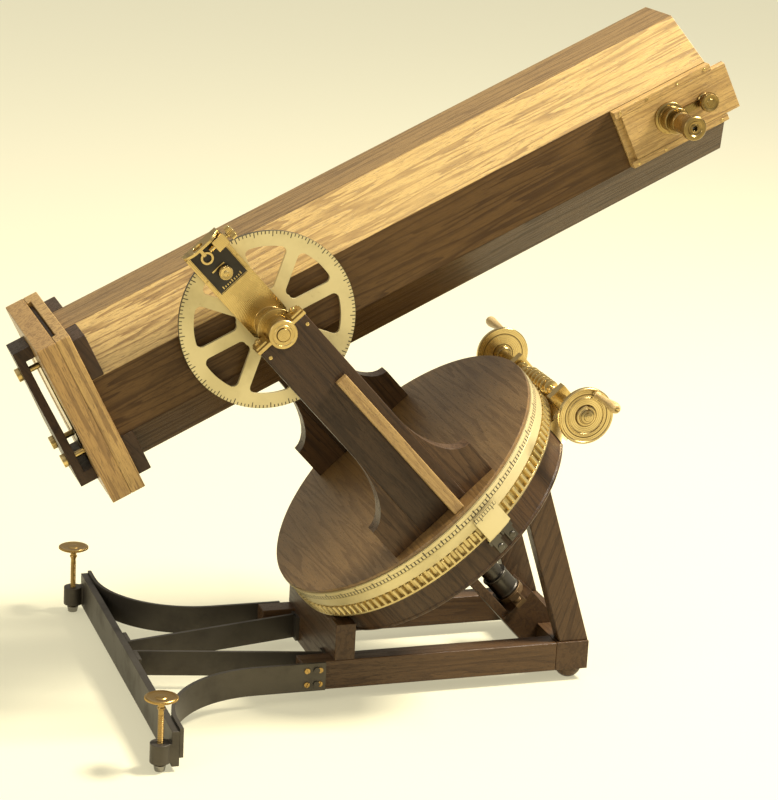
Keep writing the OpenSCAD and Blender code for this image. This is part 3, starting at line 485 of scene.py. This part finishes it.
def sweep(rows):
    # a skin over rows of points, closed at both ends
    made = bmesh.new()
    rings = [[made.verts.new(point) for point in row] for row in rows]
    for one, two in zip(rings, rings[1:]):
        for k in range(len(one)):
            after = (k + 1) % len(one)
            made.faces.new((one[k], one[after], two[after], two[k]))
    made.faces.new(rings[0])
    made.faces.new(rings[-1])
    bmesh.ops.recalc_face_normals(made, faces=made.faces)
    return made


heading = {"z": Matrix.Identity(4), "x": Matrix.Rotation(math.pi / 2, 4, "Y"),
           "y": Matrix.Rotation(-math.pi / 2, 4, "X"), "-y": Matrix.Rotation(math.pi / 2, 4, "X")}
bothSides = ((-1, "-y"), (1, "y"))
crease = math.radians(32)


def evenShade(shape):
    # keeps the flats flat beside their eased edges
    even = shape.modifiers.new("even", "WEIGHTED_NORMAL")
    even.keep_sharp = True


class Piece:
    # gathers turned, flat and square shapes, in millimetres of a local frame, into one mesh
    def __init__(self, name, body, place):
        self.name, self.body, self.place, self.form = name, body, place, bmesh.new()

    def take(self, made, at=(0, 0, 0), along="z", spin=0.0):
        turned = heading[along] @ Matrix.Rotation(math.radians(spin), 4, "Z") @ Matrix.Scale(mm, 4)
        made.transform(self.place @ Matrix.Translation(Vector(at) * mm) @ turned)
        held = bpy.data.meshes.new("held")
        made.to_mesh(held)
        made.free()
        self.form.from_mesh(held)
        bpy.data.meshes.remove(held)
        return self

    def turned(self, profile, at=(0, 0, 0), along="z", soft=0.25, steps=96):
        made = bmesh.new()
        rings = []
        for radius, height in soften(profile, soft) if soft else profile:
            onAxis = radius < 1e-6
            turns = [0.0] if onAxis else [fullTurn * i / steps for i in range(steps)]
            rings.append([made.verts.new(spot(0 if onAxis else radius, turn, height)) for turn in turns])
        for low, high in zip(rings, rings[1:]):
            for i in range(steps):
                j = (i + 1) % steps
                loop = [low[i % len(low)], low[j % len(low)], high[j % len(high)], high[i % len(high)]]
                loop = [corner for k, corner in enumerate(loop) if corner not in loop[:k]]
                if len(loop) > 2:
                    made.faces.new(loop)
        bmesh.ops.recalc_face_normals(made, faces=made.faces)
        return self.take(made, at, along)

    def flat(self, loops, low, high, at=(0, 0, 0), along="z", soft=0.3, spin=0.0):
        line = bpy.data.curves.new("outline", "CURVE")
        line.dimensions, line.fill_mode = "2D", "BOTH"
        for loop in loops:
            part = line.splines.new("POLY")
            part.points.add(len(loop) - 1)
            for point, (x, y) in zip(part.points, loop):
                point.co = (x, y, 0, 1)
            part.use_cyclic_u = True
        line.extrude = (high - low) / 2 - soft
        line.bevel_depth, line.bevel_resolution, line.offset = soft, 2, -soft
        shape = bpy.data.objects.new("outline", line)
        scene.collection.objects.link(shape)
        held = bpy.data.meshes.new_from_object(shape.evaluated_get(bpy.context.evaluated_depsgraph_get()))
        bpy.data.objects.remove(shape)
        made = bmesh.new()
        made.from_mesh(held)
        bpy.data.meshes.remove(held)
        bmesh.ops.remove_doubles(made, verts=made.verts, dist=1e-4)
        bmesh.ops.recalc_face_normals(made, faces=made.faces)
        made.transform(Matrix.Translation((0, 0, (low + high) / 2)))
        return self.take(made, at, along, spin)

    def block(self, low, high, soft=0.3, at=(0, 0, 0), along="z", spin=0.0):
        made = bmesh.new()
        bmesh.ops.create_cube(made, size=1)
        low, high = Vector(low), Vector(high)
        made.transform(Matrix.Translation((low + high) / 2) @ Matrix.Diagonal((*(high - low), 1)))
        bmesh.ops.bevel(made, geom=made.edges[:], offset=soft, segments=2, profile=0.6, affect="EDGES")
        return self.take(made, at, along, spin)

    def screw(self, at, along, radius, spin=0.0, rise=0.8):
        # a head of two half discs over a thin one, so the slot is real
        floorZ, halfSlot = rise * 0.3, math.asin(0.13)
        self.turned([(0, 0), (radius, 0), (radius, floorZ), (0, floorZ)], at, along, 0, 28)
        for side in (0, 180):
            arc = [spot(radius, halfSlot + (math.pi - 2 * halfSlot) * i / 14) for i in range(15)]
            self.flat([arc], floorZ, rise, at, along, min(0.12, rise * 0.2), spin + side)

    def done(self, finishName, slot, replaces=()):
        mesh = bpy.data.meshes.new(self.name)
        self.form.to_mesh(mesh)
        self.form.free()
        mesh.materials.append(finish[finishName])
        mesh.shade_smooth()
        mesh.set_sharp_from_angle(angle=crease)
        shown = bpy.data.objects.new(self.name, mesh)
        scene.collection.objects.link(shown)
        evenShade(shown)
        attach(shown, self.body)
        if replaces:
            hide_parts(*replaces)


# the nodes that keep their CAD form: finish and width of the eased edges

dressed = {
    "top_stave": ("staveOlive", 0.0005),
    # the front stave and the lower staves below take the darkened woods: painted shade
    "front_stave": ("staveFrontPaintedShade", 0.0005),
    "bottom_stave": ("staveGold", 0.0005),
    "back_stave": ("staveHoney", 0.0005),
    "upper_staves": ("staveGold", 0.0005),
    "lower_staves": ("staveLowerPaintedShade", 0.0005),
    "corner_blocks": ("forkWalnut", 0.0008),
    "box_front_board": ("boxHoney", 0.0008),
    "box_back_board": ("boxAmber", 0.0008),
    "dust_slide": ("forkWalnut", 0.0005),
    "mirror_bridge": ("forkWalnut", 0.0009),
    "slide_bed": ("boardGold", 0.0003),
    "eyepiece_board": ("boardGold", 0.0005),
    "near_arm": ("forkWalnut", 0.001),
    "far_arm": ("forkWalnut", 0.001),
    "near_wings": ("wingWalnut", 0.001),
    "far_wings": ("wingWalnut", 0.001),
    "fork_ribs": ("ribOak", 0.0008),
    "cross_beams": ("beamWalnut", 0.001),
    "side_rails": ("railWalnut", 0.001),
    "struts": ("strutWalnut", 0.001),
    "polar_block": ("beamWalnut", 0.0008),
    "crossbar": ("bandIron", 0.0006),
    "iron_bands": ("bandIron", 0.0006),
    "primary_mirror": ("silveredMirror", 0),
    "mirror_cell": ("brassPlain", 0),
    "prism": ("lensGlass", 0.0002),
    "eyepiece_lenses": ("lensGlass", 0),
    "prism_arm": ("brassPlain", 0.0002),
    "focus_rack": ("brassPlain", 0),
    "bearing_caps": ("brassPlain", 0.0004),
    "alidade": ("brassHub", 0.0004),
    "vernier_plate": ("vernierSilvered", 0.0002),
    "worm_bracket": ("brassPlain", 0.0006),
    "lower_bearing": ("darkBronze", 0.0005),
    "near_tip": ("shaftSteel", 0.0003),
    "far_tip": ("shaftSteel", 0.0003),
    "polar_bush": ("brassPlain", 0.0003),
    "dec_circle": ("circleSilvered", 0.0003),
    "collimation_screws": ("brassPlain", 0.0004),
    "trunnion_bushes": ("brassHub", 0.0003),
    "trunnions": ("brassHub", 0.0004),
}


def dress(shape, finishName, soft):
    shape.data.materials.clear()
    shape.data.materials.append(finish[finishName])
    for face in shape.data.polygons:
        face.use_smooth = True
    weld = shape.modifiers.new("weld", "WELD")
    weld.merge_threshold = 2e-6
    join = shape.modifiers.new("join", "DECIMATE")
    join.decimate_type, join.angle_limit = "DISSOLVE", math.radians(0.4)
    if soft:
        ease = shape.modifiers.new("ease", "BEVEL")
        ease.width, ease.segments, ease.use_clamp_overlap = soft, 2, True
        ease.limit_method, ease.angle_limit = "ANGLE", math.radians(28)
        evenShade(shape)
    else:
        shape.data.set_sharp_from_angle(angle=crease)


for nodeName, (nodeFinish, nodeSoft) in dressed.items():
    dress(nodes[nodeName], nodeFinish, nodeSoft)
print("boards and castings dressed:", len(dressed))

# eyepiece socket on its board, with the focus knob's bearing beside it

eyeLine = {"x": 362.0, "board": 69.3, "drawR": 7.5, "knobX": 394.0}  # heights are counted across the tube
socketLook = {**eyeLine, "out": 85.3, "screwR": 11.2}


def makeSocket(look):
    x, board, out, knobX = look["x"], look["board"], look["out"], look["knobX"]
    piece = Piece("eyepieceSocket", "focus_slide", tube)
    bore = look["drawR"] + 0.05
    piece.turned([
        (bore, board + 1), (6.4, board + 1), (6.4, 48), (7.4, 48), (7.4, board), (13, board), (13, board + 2.2),
        (11.6, board + 3), (9.9, board + 3.2), (9.5, board + 4.4), (9.5, out - 4.2), (10.2, out - 3.6),
        (10.8, out - 2.4), (10.8, out - 0.9), (10.2, out), (bore, out), (bore, board + 1)], (x, 0, 0), "-y")
    for spin in (45, 135, 225, 315):
        across, up = spot(look["screwR"], math.radians(spin))
        piece.screw((x + across, -board - 2.0, up), "-y", 1.3, spin, 1.0)
    piece.turned([
        (2.25, board), (6, board), (6, board + 2), (5.2, board + 3), (3.8, board + 3.2), (3.8, board + 5.6),
        (2.25, board + 5.6), (2.25, board)], (knobX, 0, 0), "-y")
    piece.block((x + 11, -board - 3, -3), (knobX - 4, -board, 3), 0.4)
    piece.done("brassTurned", "brass", ("eyepiece_socket",))


makeSocket(socketLook)

# draw tube with its milled cap and eye hole

barrelLook = {**eyeLine, "out": 112.3, "capR": 9.6, "eyeR": 2.1}


def makeBarrel(look):
    x, board, end = look["x"], look["board"], look["out"]
    draw, cap, eye = look["drawR"], look["capR"], look["eyeR"]
    piece = Piece("eyepieceBarrel", "eyepiece", tube)
    piece.turned([
        (6.5, board + 7), (draw, board + 7), (draw, end - 21), (draw + 1.1, end - 20.4), (draw + 1.1, end - 18.2),
        (draw + 0.6, end - 17.6), (draw + 0.6, end - 4), (draw + 1.1, end - 3.2), (draw + 1.1, end), (cap, end + 0.3),
        (cap, end + 5.2), (cap - 0.8, end + 6), (6.4, end + 6), (5.2, end + 4.9), (eye + 1.4, end + 4.6),
        (eye + 1.2, end + 5.4), (eye + 0.2, end + 5.6), (eye, end + 5), (eye, end + 2.1), (6.5, end + 2.1),
        (6.5, board + 7)], (x, 0, 0), "-y", 0.22)
    piece.flat([fluted(cap + 0.35, 0.5, 46), circleLine(cap - 0.6)], end + 1.2, end + 4.4, (x, 0, 0), "-y", 0.1)
    piece.done("brassTurned", "brass", ("eyepiece_barrel",))


makeBarrel(barrelLook)

# focus knob on the shaft of its pinion

knobLook = {**eyeLine, "r": 7.8, "shaftR": 2.2, "teeth": 12, "pitchR": 4.8,
            "tooth": ((3.8, -0.85), (5.5, -0.22), (5.5, 0.22), (3.8, 0.85)), "pinion": (55, 60)}


def makeKnob(look):
    board, shaft, at = look["board"], look["shaftR"], (look["knobX"], 0, 0)
    piece = Piece("focusKnob", "focus_knob", tube)
    pinion = toothed(look["teeth"], look["pitchR"], look["tooth"], math.pi / 2)
    piece.flat([pinion], *look["pinion"], at, "-y", 0.08)
    piece.turned([
        (0, 54.9), (shaft, 54.9), (shaft, board + 8.4), (3.4, board + 8.4), (3.4, board + 9), (0, board + 9)],
        at, "-y", 0.1, 48)
    piece.flat([fluted(look["r"], 0.55, 40)], board + 9, board + 13.2, at, "-y")
    piece.turned([
        (0, board + 13.6), (2.6, board + 13.9), (3.2, board + 13.1), (5.4, board + 13.3), (6.6, board + 14),
        (7, board + 13), (7, board + 12), (0, board + 12)], at, "-y", 0.15)
    piece.done("brassTurned", "brass", ("focus_knob",))


makeKnob(knobLook)
print("eyepiece and focus knob made")

# hour disc; heights are counted down the polar axis from its top

disc = {"r": 132.0, "coreR": 120.0, "rim": 3.0, "wheelTop": -20.5, "wheelLow": -31.5}


def makeHourDisc(look):
    r, core, rim, low = look["r"] - 0.5, look["coreR"] - 0.1, -look["rim"], look["wheelLow"]
    profile = [(0, 0), (r, 0), (r, rim), (core, rim), (core, low), (9.1, low), (9.1, -6), (0, -6)]
    piece = Piece("hourDisc", "fork", polar).turned(profile, soft=0.7, steps=256)
    piece.done("discRusset", "red_wood", ("hour_disc",))


makeHourDisc(disc)

# divided ring under the disc's rim

ringLook = {**disc, "band": 7.5}


def makeHourCircle(look):
    r, core, top = look["r"], look["coreR"] + 0.1, look["wheelTop"]
    rim = -look["rim"] - 0.05
    band = -look["rim"] - look["band"]
    piece = Piece("hourCircle", "fork", polar)
    piece.turned([
        (core, rim), (r, rim), (r, band), (r - 1.1, band - 0.3), (r - 1.1, band - 0.9), (r - 0.9, band - 1.0),
        (r - 0.9, top + 0.7), (r - 1.5, top + 0.1), (core, top + 0.1), (core, rim)], soft=0.15, steps=360)
    piece.done("hourSilvered", "pale_brass", ("hour_circle",))


makeHourCircle(ringLook)

# worm wheel: a single row of teeth above a plain rim

wheelLook = {**disc, "teeth": 120, "pitchR": 131, "rimR": 132.4,
             "flank": ((129.2, 2.1), (130.9, 1.75), (132.2, 1.2), (132.6, 0.85))}


def makeWormWheel(look):
    core, top, low, rim = look["coreR"] + 0.1, look["wheelTop"], look["wheelLow"], look["rimR"]
    tooth = [(reach, -half) for reach, half in look["flank"]] + list(reversed(look["flank"]))
    piece = Piece("wormWheel", "fork", polar)
    teeth = toothed(look["teeth"], look["pitchR"], tooth)
    piece.flat([teeth, circleLine(core, 180)], low + 1.6, top - 0.05, soft=0.2)
    piece.turned([
        (core, low + 1.8), (rim - 0.2, low + 1.8), (rim, low + 1.4), (rim, low + 0.4), (rim - 0.4, low), (core, low),
        (core, low + 1.8)], soft=0, steps=240)
    piece.done("wheelBrass", "brass", ("worm_wheel",))


makeWormWheel(wheelLook)

# fixed drum under the wheel, beaded at both edges

drumLook = {"r": 126.0, "top": -33.0, "low": -58.0, "recess": -38.5, "recessR": 32, "boreR": 12.1}


def makeDrum(look):
    r, top, low, recess, recessR, bore = (look[key] for key in ("r", "top", "low", "recess", "recessR", "boreR"))
    piece = Piece("bedDrum", "stand", polar)
    piece.turned([
        (recessR, top), (r - 1.5, top), (r, top - 1.2), (r, top - 2.6), (r - 0.8, top - 3.2), (r - 0.8, low + 3.4),
        (r, low + 2.8), (r, low + 1), (r - 1, low), (bore, low), (bore, recess), (recessR, recess), (recessR, top)],
        soft=0.5, steps=256)
    piece.done("drumWalnut", "dark_wood", ("bed_drum",))


makeDrum(drumLook)

# polar shaft with its washer and collared sleeve

shaftLook = {"r": 9, "washerR": 30, "washer": (-31.6, -35.4), "collarR": 11.5, "end": -174}


def makeShaft(look):
    r, washer, collar, end = look["r"], look["washerR"], look["collarR"], look["end"]
    top, low = look["washer"]
    piece = Piece("polarShaft", "fork", polar)
    piece.turned([
        (0, -6.1), (r, -6.1), (r, top), (washer, top), (washer, low), (r, low), (r, -134), (10.6, -133.75),
        (collar, -134.3), (collar, -135.6), (10.9, -136.3), (10.9, -151.6), (collar, -152.2), (collar, -153.3),
        (11.1, -153.68), (r, -153.68), (r, end + 1), (r - 1, end), (0, end)], soft=0.3)
    piece.done("shaftBlack", "steel", ("polar_shaft",))


makeShaft(shaftLook)

# hour vernier on the drum; its ends slant back from the divided edge

vernierLook = {"from": -85.2, "to": -74.8, "steps": 24, "slant": 1.6, "slantSteps": 2, "top": -12.6,
               "faceR": 135.5, "backR": 133.9, "footR": 128.4, "drumR": 126.1}


def makeHourVernier(look):
    start, end, steps = math.radians(look["from"]), math.radians(look["to"]), look["steps"]
    face, back, foot, drum = look["faceR"], look["backR"], look["footR"], look["drumR"]
    rows = []
    for i in range(steps + 1):
        turn = start + (end - start) * i / steps
        top = look["top"] + look["slant"] * min(1, min(i, steps - i) / look["slantSteps"])
        line = ((back, top), (face, top), (face, -34.2), (foot, -36.2),
                (foot, -39), (drum, -39), (drum, -33.9), (back, -32.9))
        rows.append([spot(reach, turn, height) for reach, height in line])
    made = sweep(rows)
    edges = [edge for edge in made.edges if edge.calc_face_angle(0) > 0.5]
    bmesh.ops.bevel(made, geom=edges, offset=0.25, segments=2, affect="EDGES")
    Piece("hourVernier", "stand", polar).take(made).done("hourVernierSilvered", "pale_brass", ("hour_vernier",))


makeHourVernier(vernierLook)

# two feet that hold the vernier to the drum

feetLook = {"turns": (-83.0, -77.0), "r": 126, "top": -38.6, "low": -53, "shoulder": -43,
            "screwR": 128.5, "screwZ": -48.5}


def makeVernierFeet(look):
    piece = Piece("vernierFeet", "stand", polar)
    for turn in look["turns"]:
        at = spot(look["r"], math.radians(turn), 0)
        piece.block((0.1, -4.2, look["low"]), (2.5, 4.2, look["top"]), 0.5, at, "z", turn)
        piece.block((0.1, -6.2, look["shoulder"]), (1.9, 6.2, look["top"]), 0.4, at, "z", turn)
        head = spot(look["screwR"], math.radians(turn), look["screwZ"])
        piece.turned([(0, 0), (2.7, 0), (2.7, 0.7), (2.0, 1.3), (0, 1.4)], head, "-y", 0.1, 32)
    piece.done("shaftBlack", "brass")


makeVernierFeet(feetLook)
print("hour disc and drum made")

# worm with a thread that runs out at both ends

wormLine = {"s": 137.0, "h": -26.0, "near": -103.0, "far": 82.0}  # near and far are the crank discs
wormLook = {**wormLine, "pitch": fullTurn * wheelLook["pitchR"] / wheelLook["teeth"], "turns": 8, "midY": -5.0,
            "tip": 7.5, "root": 3.7, "core": 4.1, "steps": 72, "runOut": 40, "shaftR": 3.5, "collarR": 5.6}


def makeWorm(look):
    s, h, pitch, steps, turns = (look[key] for key in ("s", "h", "pitch", "steps", "turns"))
    root, tip, core, mid = look["root"], look["tip"], look["core"], look["midY"]
    piece = Piece("wormScrew", "worm", polar)
    phase = 180 - 360 * (0.5 + turns / 2 - mid / pitch)  # meshes with the wheel at rest
    section = ((root, -1.7), (4.6, -1.5), (tip - 0.25, -0.82), (tip, -0.6),
               (tip, 0.6), (tip - 0.25, 0.82), (4.6, 1.5), (root, 1.7))
    rows = []
    for i in range(turns * steps + 1):
        turn = fullTurn * i / steps + math.radians(phase)
        fade = min(1.0, i / look["runOut"], (turns * steps - i) / look["runOut"])
        rows.append([spot(root + (reach - root) * fade, turn, pitch * i / steps + rise) for reach, rise in section])
    half = turns * pitch / 2
    piece.take(sweep(rows), (s, mid - half, h), "y")
    r, collar = look["shaftR"], look["collarR"]
    start, end = mid - half, mid + half
    piece.turned([
        (0, look["near"] - 4), (r, look["near"] - 4), (r, look["near"] + 20), (r, start - 24.6), (r, start - 15.6),
        (collar, start - 15.3), (collar, start - 12), (3.6, start - 11.5), (3.6, start - 2.4), (core, start - 2),
        (core, end + 2), (3.6, end + 2.4), (3.6, end + 11.5), (collar, end + 12), (collar, end + 15.3),
        (r, end + 15.6), (r, look["far"] + 4), (0, look["far"] + 4)], (s, 0, h), "y", 0.2, 48)
    piece.done("brassPlain", "brass", ("worm",))


makeWorm(wormLook)

# crank discs at both ends of the worm, each with a pin for its handle

crankLook = {**wormLine, "r": 23.5, "pinR": 19.0, "nearTurn": 23, "farTurn": -40, "boreR": 3.52}


def crankPin(look, along, side):
    # the middle of a handle's pin, beside the worm's line
    y, turn = look[side], math.radians(look[side + "Turn"])
    return Vector((look["s"], y, look["h"])) + heading[along] @ Vector(spot(look["pinR"], turn, 0))


def makeCranks(look):
    r, bore = look["r"], look["boreR"]
    piece = Piece("crankDiscs", "worm", polar)
    for side, along in (("near", "-y"), ("far", "y")):
        at = (look["s"], look[side], look["h"])
        piece.turned([
            (bore, -4), (6, -4), (7, -3.2), (7, 0), (r - 0.6, 0), (r, 0.6), (r, 3.2), (r - 0.6, 4), (r - 1.6, 4),
            (r - 2.3, 3.3), (r - 7.4, 3.0), (r - 7.9, 3.9), (r - 8.7, 3.9), (r - 9.2, 2.9), (9.2, 2.6), (8.6, 3.9),
            (7.6, 4.6), (6.8, 4.6), (6.2, 5.6), (4.4, 6.6), (bore, 6.9), (bore, -4)], at, along, 0.18, 128)
        piece.turned([(0, 6.2), (3.5, 6.2), (3.2, 7.2), (1.6, 7.9), (0, 8)], at, along, 0.2, 48)
        pin = [(0, 3.4), (4.2, 3.4), (4.2, 4.1), (3.6, 4.28), (1.6, 4.28), (1.6, 44.6), (0, 45)]
        piece.turned(pin, crankPin(look, along, side), along, 0.1, 48)
    piece.done("brassCrank", "brass", ("crank_discs",))


makeCranks(crankLook)

# boxwood handles that turn on the pins

handleLook = {**crankLook, "off": 4.3, "boreR": 1.65}


def makeHandle(name, along, look):
    bore = look["boreR"]
    grip = [(bore, 0.1), (3.2, 0.1), (3.4, 0.7), (3.2, 1.4), (2.5, 2.4), (2.3, 5), (2.5, 9), (3.0, 16), (3.8, 25),
            (4.45, 31.5), (4.6, 35), (4.2, 37.6), (3.2, 39.4), (bore, 39.9), (bore, 0.1)]
    at = crankPin(look, along, name) + heading[along] @ Vector((0, 0, look["off"]))
    piece = Piece(name + "Handle", name + "_handle", polar).turned(grip, at, along, 0.5, 48)
    piece.done("handleBoxwood", "honey_wood", (name + "_handle",))


makeHandle("near", "-y", handleLook)
makeHandle("far", "y", handleLook)
print("worm and cranks made")

# levelling screws with milled heads

levelLook = {"x": -101.0, "y": 169.0, "stemR": 2.5, "headR": 13.0, "top": 61.0, "pitch": 1.6, "steps": 24}


def makeLevelScrew(name, side, look):
    piece = Piece(name + "LevelScrew", name + "_level_screw", stand)
    at = (look["x"], side * look["y"], 0)
    top, r, stem, pitch, steps = (look[key] for key in ("top", "headR", "stemR", "pitch", "steps"))
    piece.turned([
        (0, 5.05), (stem - 0.35, 5.05), (stem - 0.35, top - 12), (stem, top - 11), (stem + 0.8, top - 9.4),
        (stem, top - 8.2), (stem + 0.2, top - 6.4), (6, top - 4.6), (r - 1.4, top - 2.6), (r - 0.7, top - 2),
        (r - 0.7, top - 0.6), (r - 1.4, top), (r - 3.4, top - 0.5), (5, top - 0.9), (4.2, top - 0.2), (2.8, top),
        (0, top)], at, "z", 0.2)
    piece.flat([fluted(r, 0.5, 54), circleLine(r - 1.2)], top - 2.0, top - 0.5, at, "z", 0.12)
    section = ((stem - 0.5, -0.6), (stem, 0), (stem - 0.5, 0.6))
    rows = []
    for i in range(int((top - 20) / pitch) * steps + 1):
        turn, rise = fullTurn * i / steps, 6 + pitch * i / steps
        rows.append([spot(reach, turn, rise + up) for reach, up in section])
    piece.take(sweep(rows), at)
    piece.done("screwBronze", "brass", (name + "_level_screw",))


makeLevelScrew("near", -1, levelLook)
makeLevelScrew("far", 1, levelLook)
print("levelling screws made")

# bearing screws and end rings at the fork's top

capLook = {"out": 113.0, "in": 97.0, "halfW": 24.0}


def makeCapScrews(look):
    piece = Piece("capScrews", "fork", forkTop)
    mid, out, halfW = (look["out"] + look["in"]) / 2, look["out"], look["halfW"]
    for side, along in bothSides:
        for x in (-1, 1):
            at = (x * (halfW - 6), side * mid, 3)
            piece.block((-5, -6.2, 0), (5, 6.2, 2.2), 0.4, at)
            piece.flat([circleLine(3.1, 6, turn=0.3)], 2.2, 4.2, at)
            piece.turned([(0, 4.1), (2.0, 4.1), (2.0, 5.0), (1.2, 5.4), (0, 5.4)], at, "z", 0.1, 32)
            piece.screw((x * (halfW - 5), side * out, -7), along, 1.5, 30 * x, 0.5)
    for side, along in bothSides:
        piece.turned([
            (5.35, 0), (11.4, 0), (11.4, 0.7), (10.9, 1.2), (8.9, 1.2), (8.5, 0.8), (7.6, 0.8), (7.2, 1.2),
            (5.7, 1.2), (5.35, 0.9), (5.35, 0)], (0, side * (out + 0.02), 0), along, 0.15)
    piece.done("brassPlain", "brass", ("cap_screws",))


makeCapScrews(capLook)

# curved end, ring clip and divisions of the alidade

alidadeLook = {"back": -72.0, "face": -76.0, "halfW": 17.0, "top": 84.0, "bulge": 7.5, "flatHalf": 6.5,
               "clipX": -3, "clipZ": 73.5, "ticks": 4, "tickGap": 2.2, "tickZ": 45.6}


def makeAlidadeEnd(look):
    piece = Piece("alidadeEnd", "fork", forkTop)
    wide, back, face, top = look["halfW"], look["back"], look["face"], look["top"]
    side = [(-wide, back), (-wide, face - 3)]
    for i in range(1, 9):
        out = look["bulge"] * math.sin(math.pi / 2 * i / 8)
        side.append((-wide + (wide - look["flatHalf"]) * i / 8, face - 3 - out))
    crown = side + [(-x, y) for x, y in reversed(side)]
    piece.flat([crown, circleLine(4.6, 40, (look["clipX"], face - 4.2))], top + 0.02, top + 2.4)
    for x in (-1, 1):
        piece.block((x * wide - 1.6 * (x > 0), face - 4.6, 63), (x * wide + 1.6 * (x < 0), face - 2.9, top))
        piece.screw((x * (wide - 1.7), face - 3.0, 59.5), "-y", 1.1, 40, 0.4)
    piece.block((-7.6, face - 1.2, 61.2), (4.6, face - 0.02, 62.6), 0.2)
    clip = (look["clipX"], face - 0.02, look["clipZ"])
    piece.flat([circleLine(5.2, 48), circleLine(3.3, 36)], 0, 1.6, clip, "-y", 0.25)
    piece.block((-4.4, face - 2.6, 76), (-1.6, face - 0.02, top))
    for i in range(-look["ticks"], look["ticks"] + 1):
        x, low = i * look["tickGap"], look["tickZ"]
        tall = 2.6 if i % look["ticks"] == 0 else 1.6
        piece.block((x - 0.45, face - 0.75, low), (x + 0.45, face - 0.4, low + tall), 0.08)
    piece.block((-13, face - 0.7, 44), (13, face - 0.3, 44.4), 0.1)
    piece.done("brassHub", "brass")


makeAlidadeEnd(alidadeLook)

# black sheet behind the divisions: painted shade of the alidade window's recess

windowShadeLook = {"halfW": 13.4, "face": -76.0, "low": 43.4, "high": 82.8}


def makeWindowShade(look):
    wide, face = look["halfW"], look["face"]
    piece = Piece("alidadeWindowShade", "fork", forkTop)
    piece.block((-wide, face - 0.5, look["low"]), (wide, face + 0.1, look["high"]), 0.15)
    piece.done("windowPaintedShade", "brass")


makeWindowShade(windowShadeLook)

# clamp screw through the alidade

clampLook = {"in": 72.0, "out": 76.0, "z": 56.0, "stemR": 2.5, "headR": 5.6}


def makeClamp(look):
    inner, outer, stem, at = look["in"] - 1.7, look["out"], look["stemR"], (0, 0, look["z"])
    piece = Piece("clampScrew", "clamp_screw", forkTop)
    piece.turned([(0, inner), (stem, inner), (stem, outer + 3), (0, outer + 3)], at, "-y", 0.1, 48)
    piece.flat([fluted(look["headR"], 0.45, 30)], outer + 3, outer + 6, at, "-y", 0.25)
    piece.turned([
        (0, outer + 5.8), (4.9, outer + 5.8), (4.6, outer + 6.6), (2.4, outer + 6.3), (1.4, outer + 7),
        (0, outer + 7)], at, "-y", 0.15, 64)
    piece.done("brassHub", "brass", ("clamp_screw",))


makeClamp(clampLook)

# slow motion screw

tangentLook = {"y": -81.0, "z": 78.0, "stemR": 2, "headR": 6}


def makeTangent(look):
    stem, at = look["stemR"], (0, look["y"], look["z"])
    piece = Piece("tangentScrew", "tangent_screw", forkTop)
    piece.turned([(0, 2), (stem, 2), (stem, 19.4), (3, 20), (3, 21), (0, 21)], at, "x", 0.1, 48)
    piece.flat([fluted(look["headR"], 0.5, 32)], 21, 25.2, at, "x")
    piece.turned([(0, 25), (4.8, 25), (4.4, 26), (1.5, 25.8), (0, 25.9)], at, "x", 0.1, 48)
    piece.done("brassPlain", "brass", ("tangent_screw",))


makeTangent(tangentLook)
print("fork's fittings made")

# wood screws in the iron bands, the feet and the crossbar

bandLook = {"y": 70.9, "z": (17.0, 29.0), "x": (44, 55), "footX": -84.1, "foot": ((150, 27), (166, 14)), "barX": -84.0}


def makeBandScrews(look):
    piece = Piece("bandScrews", "stand", stand)
    for side, along in bothSides:
        for i, z in enumerate(look["z"]):
            for x in look["x"]:
                piece.screw((x, side * look["y"], z), along, 2.4, 20 + 50 * i + x, 1.1)
        for y, z in look["foot"]:
            piece.screw((look["footX"], side * y, z), "x", 2.0, y, 0.9)
        piece.screw((look["barX"], side * 20, 22), "x", 2.2, 15, 1.0)
    piece.done("screwBronze", "brass")


makeBandScrews(bandLook)

# small screws along the slide bed

bedLook = {"x": (325, 350, 378, 403), "y": -69.2, "z": 22.6}


def makeBedScrews(look):
    piece = Piece("bedScrews", "telescope", tube)
    for x in look["x"]:
        for side in (-1, 1):
            piece.screw((x, look["y"], side * look["z"]), "-y", 1.2, x * 7, 0.5)
    piece.done("brassPlain", "brass")


makeBedScrews(bedLook)
print("wood screws made")
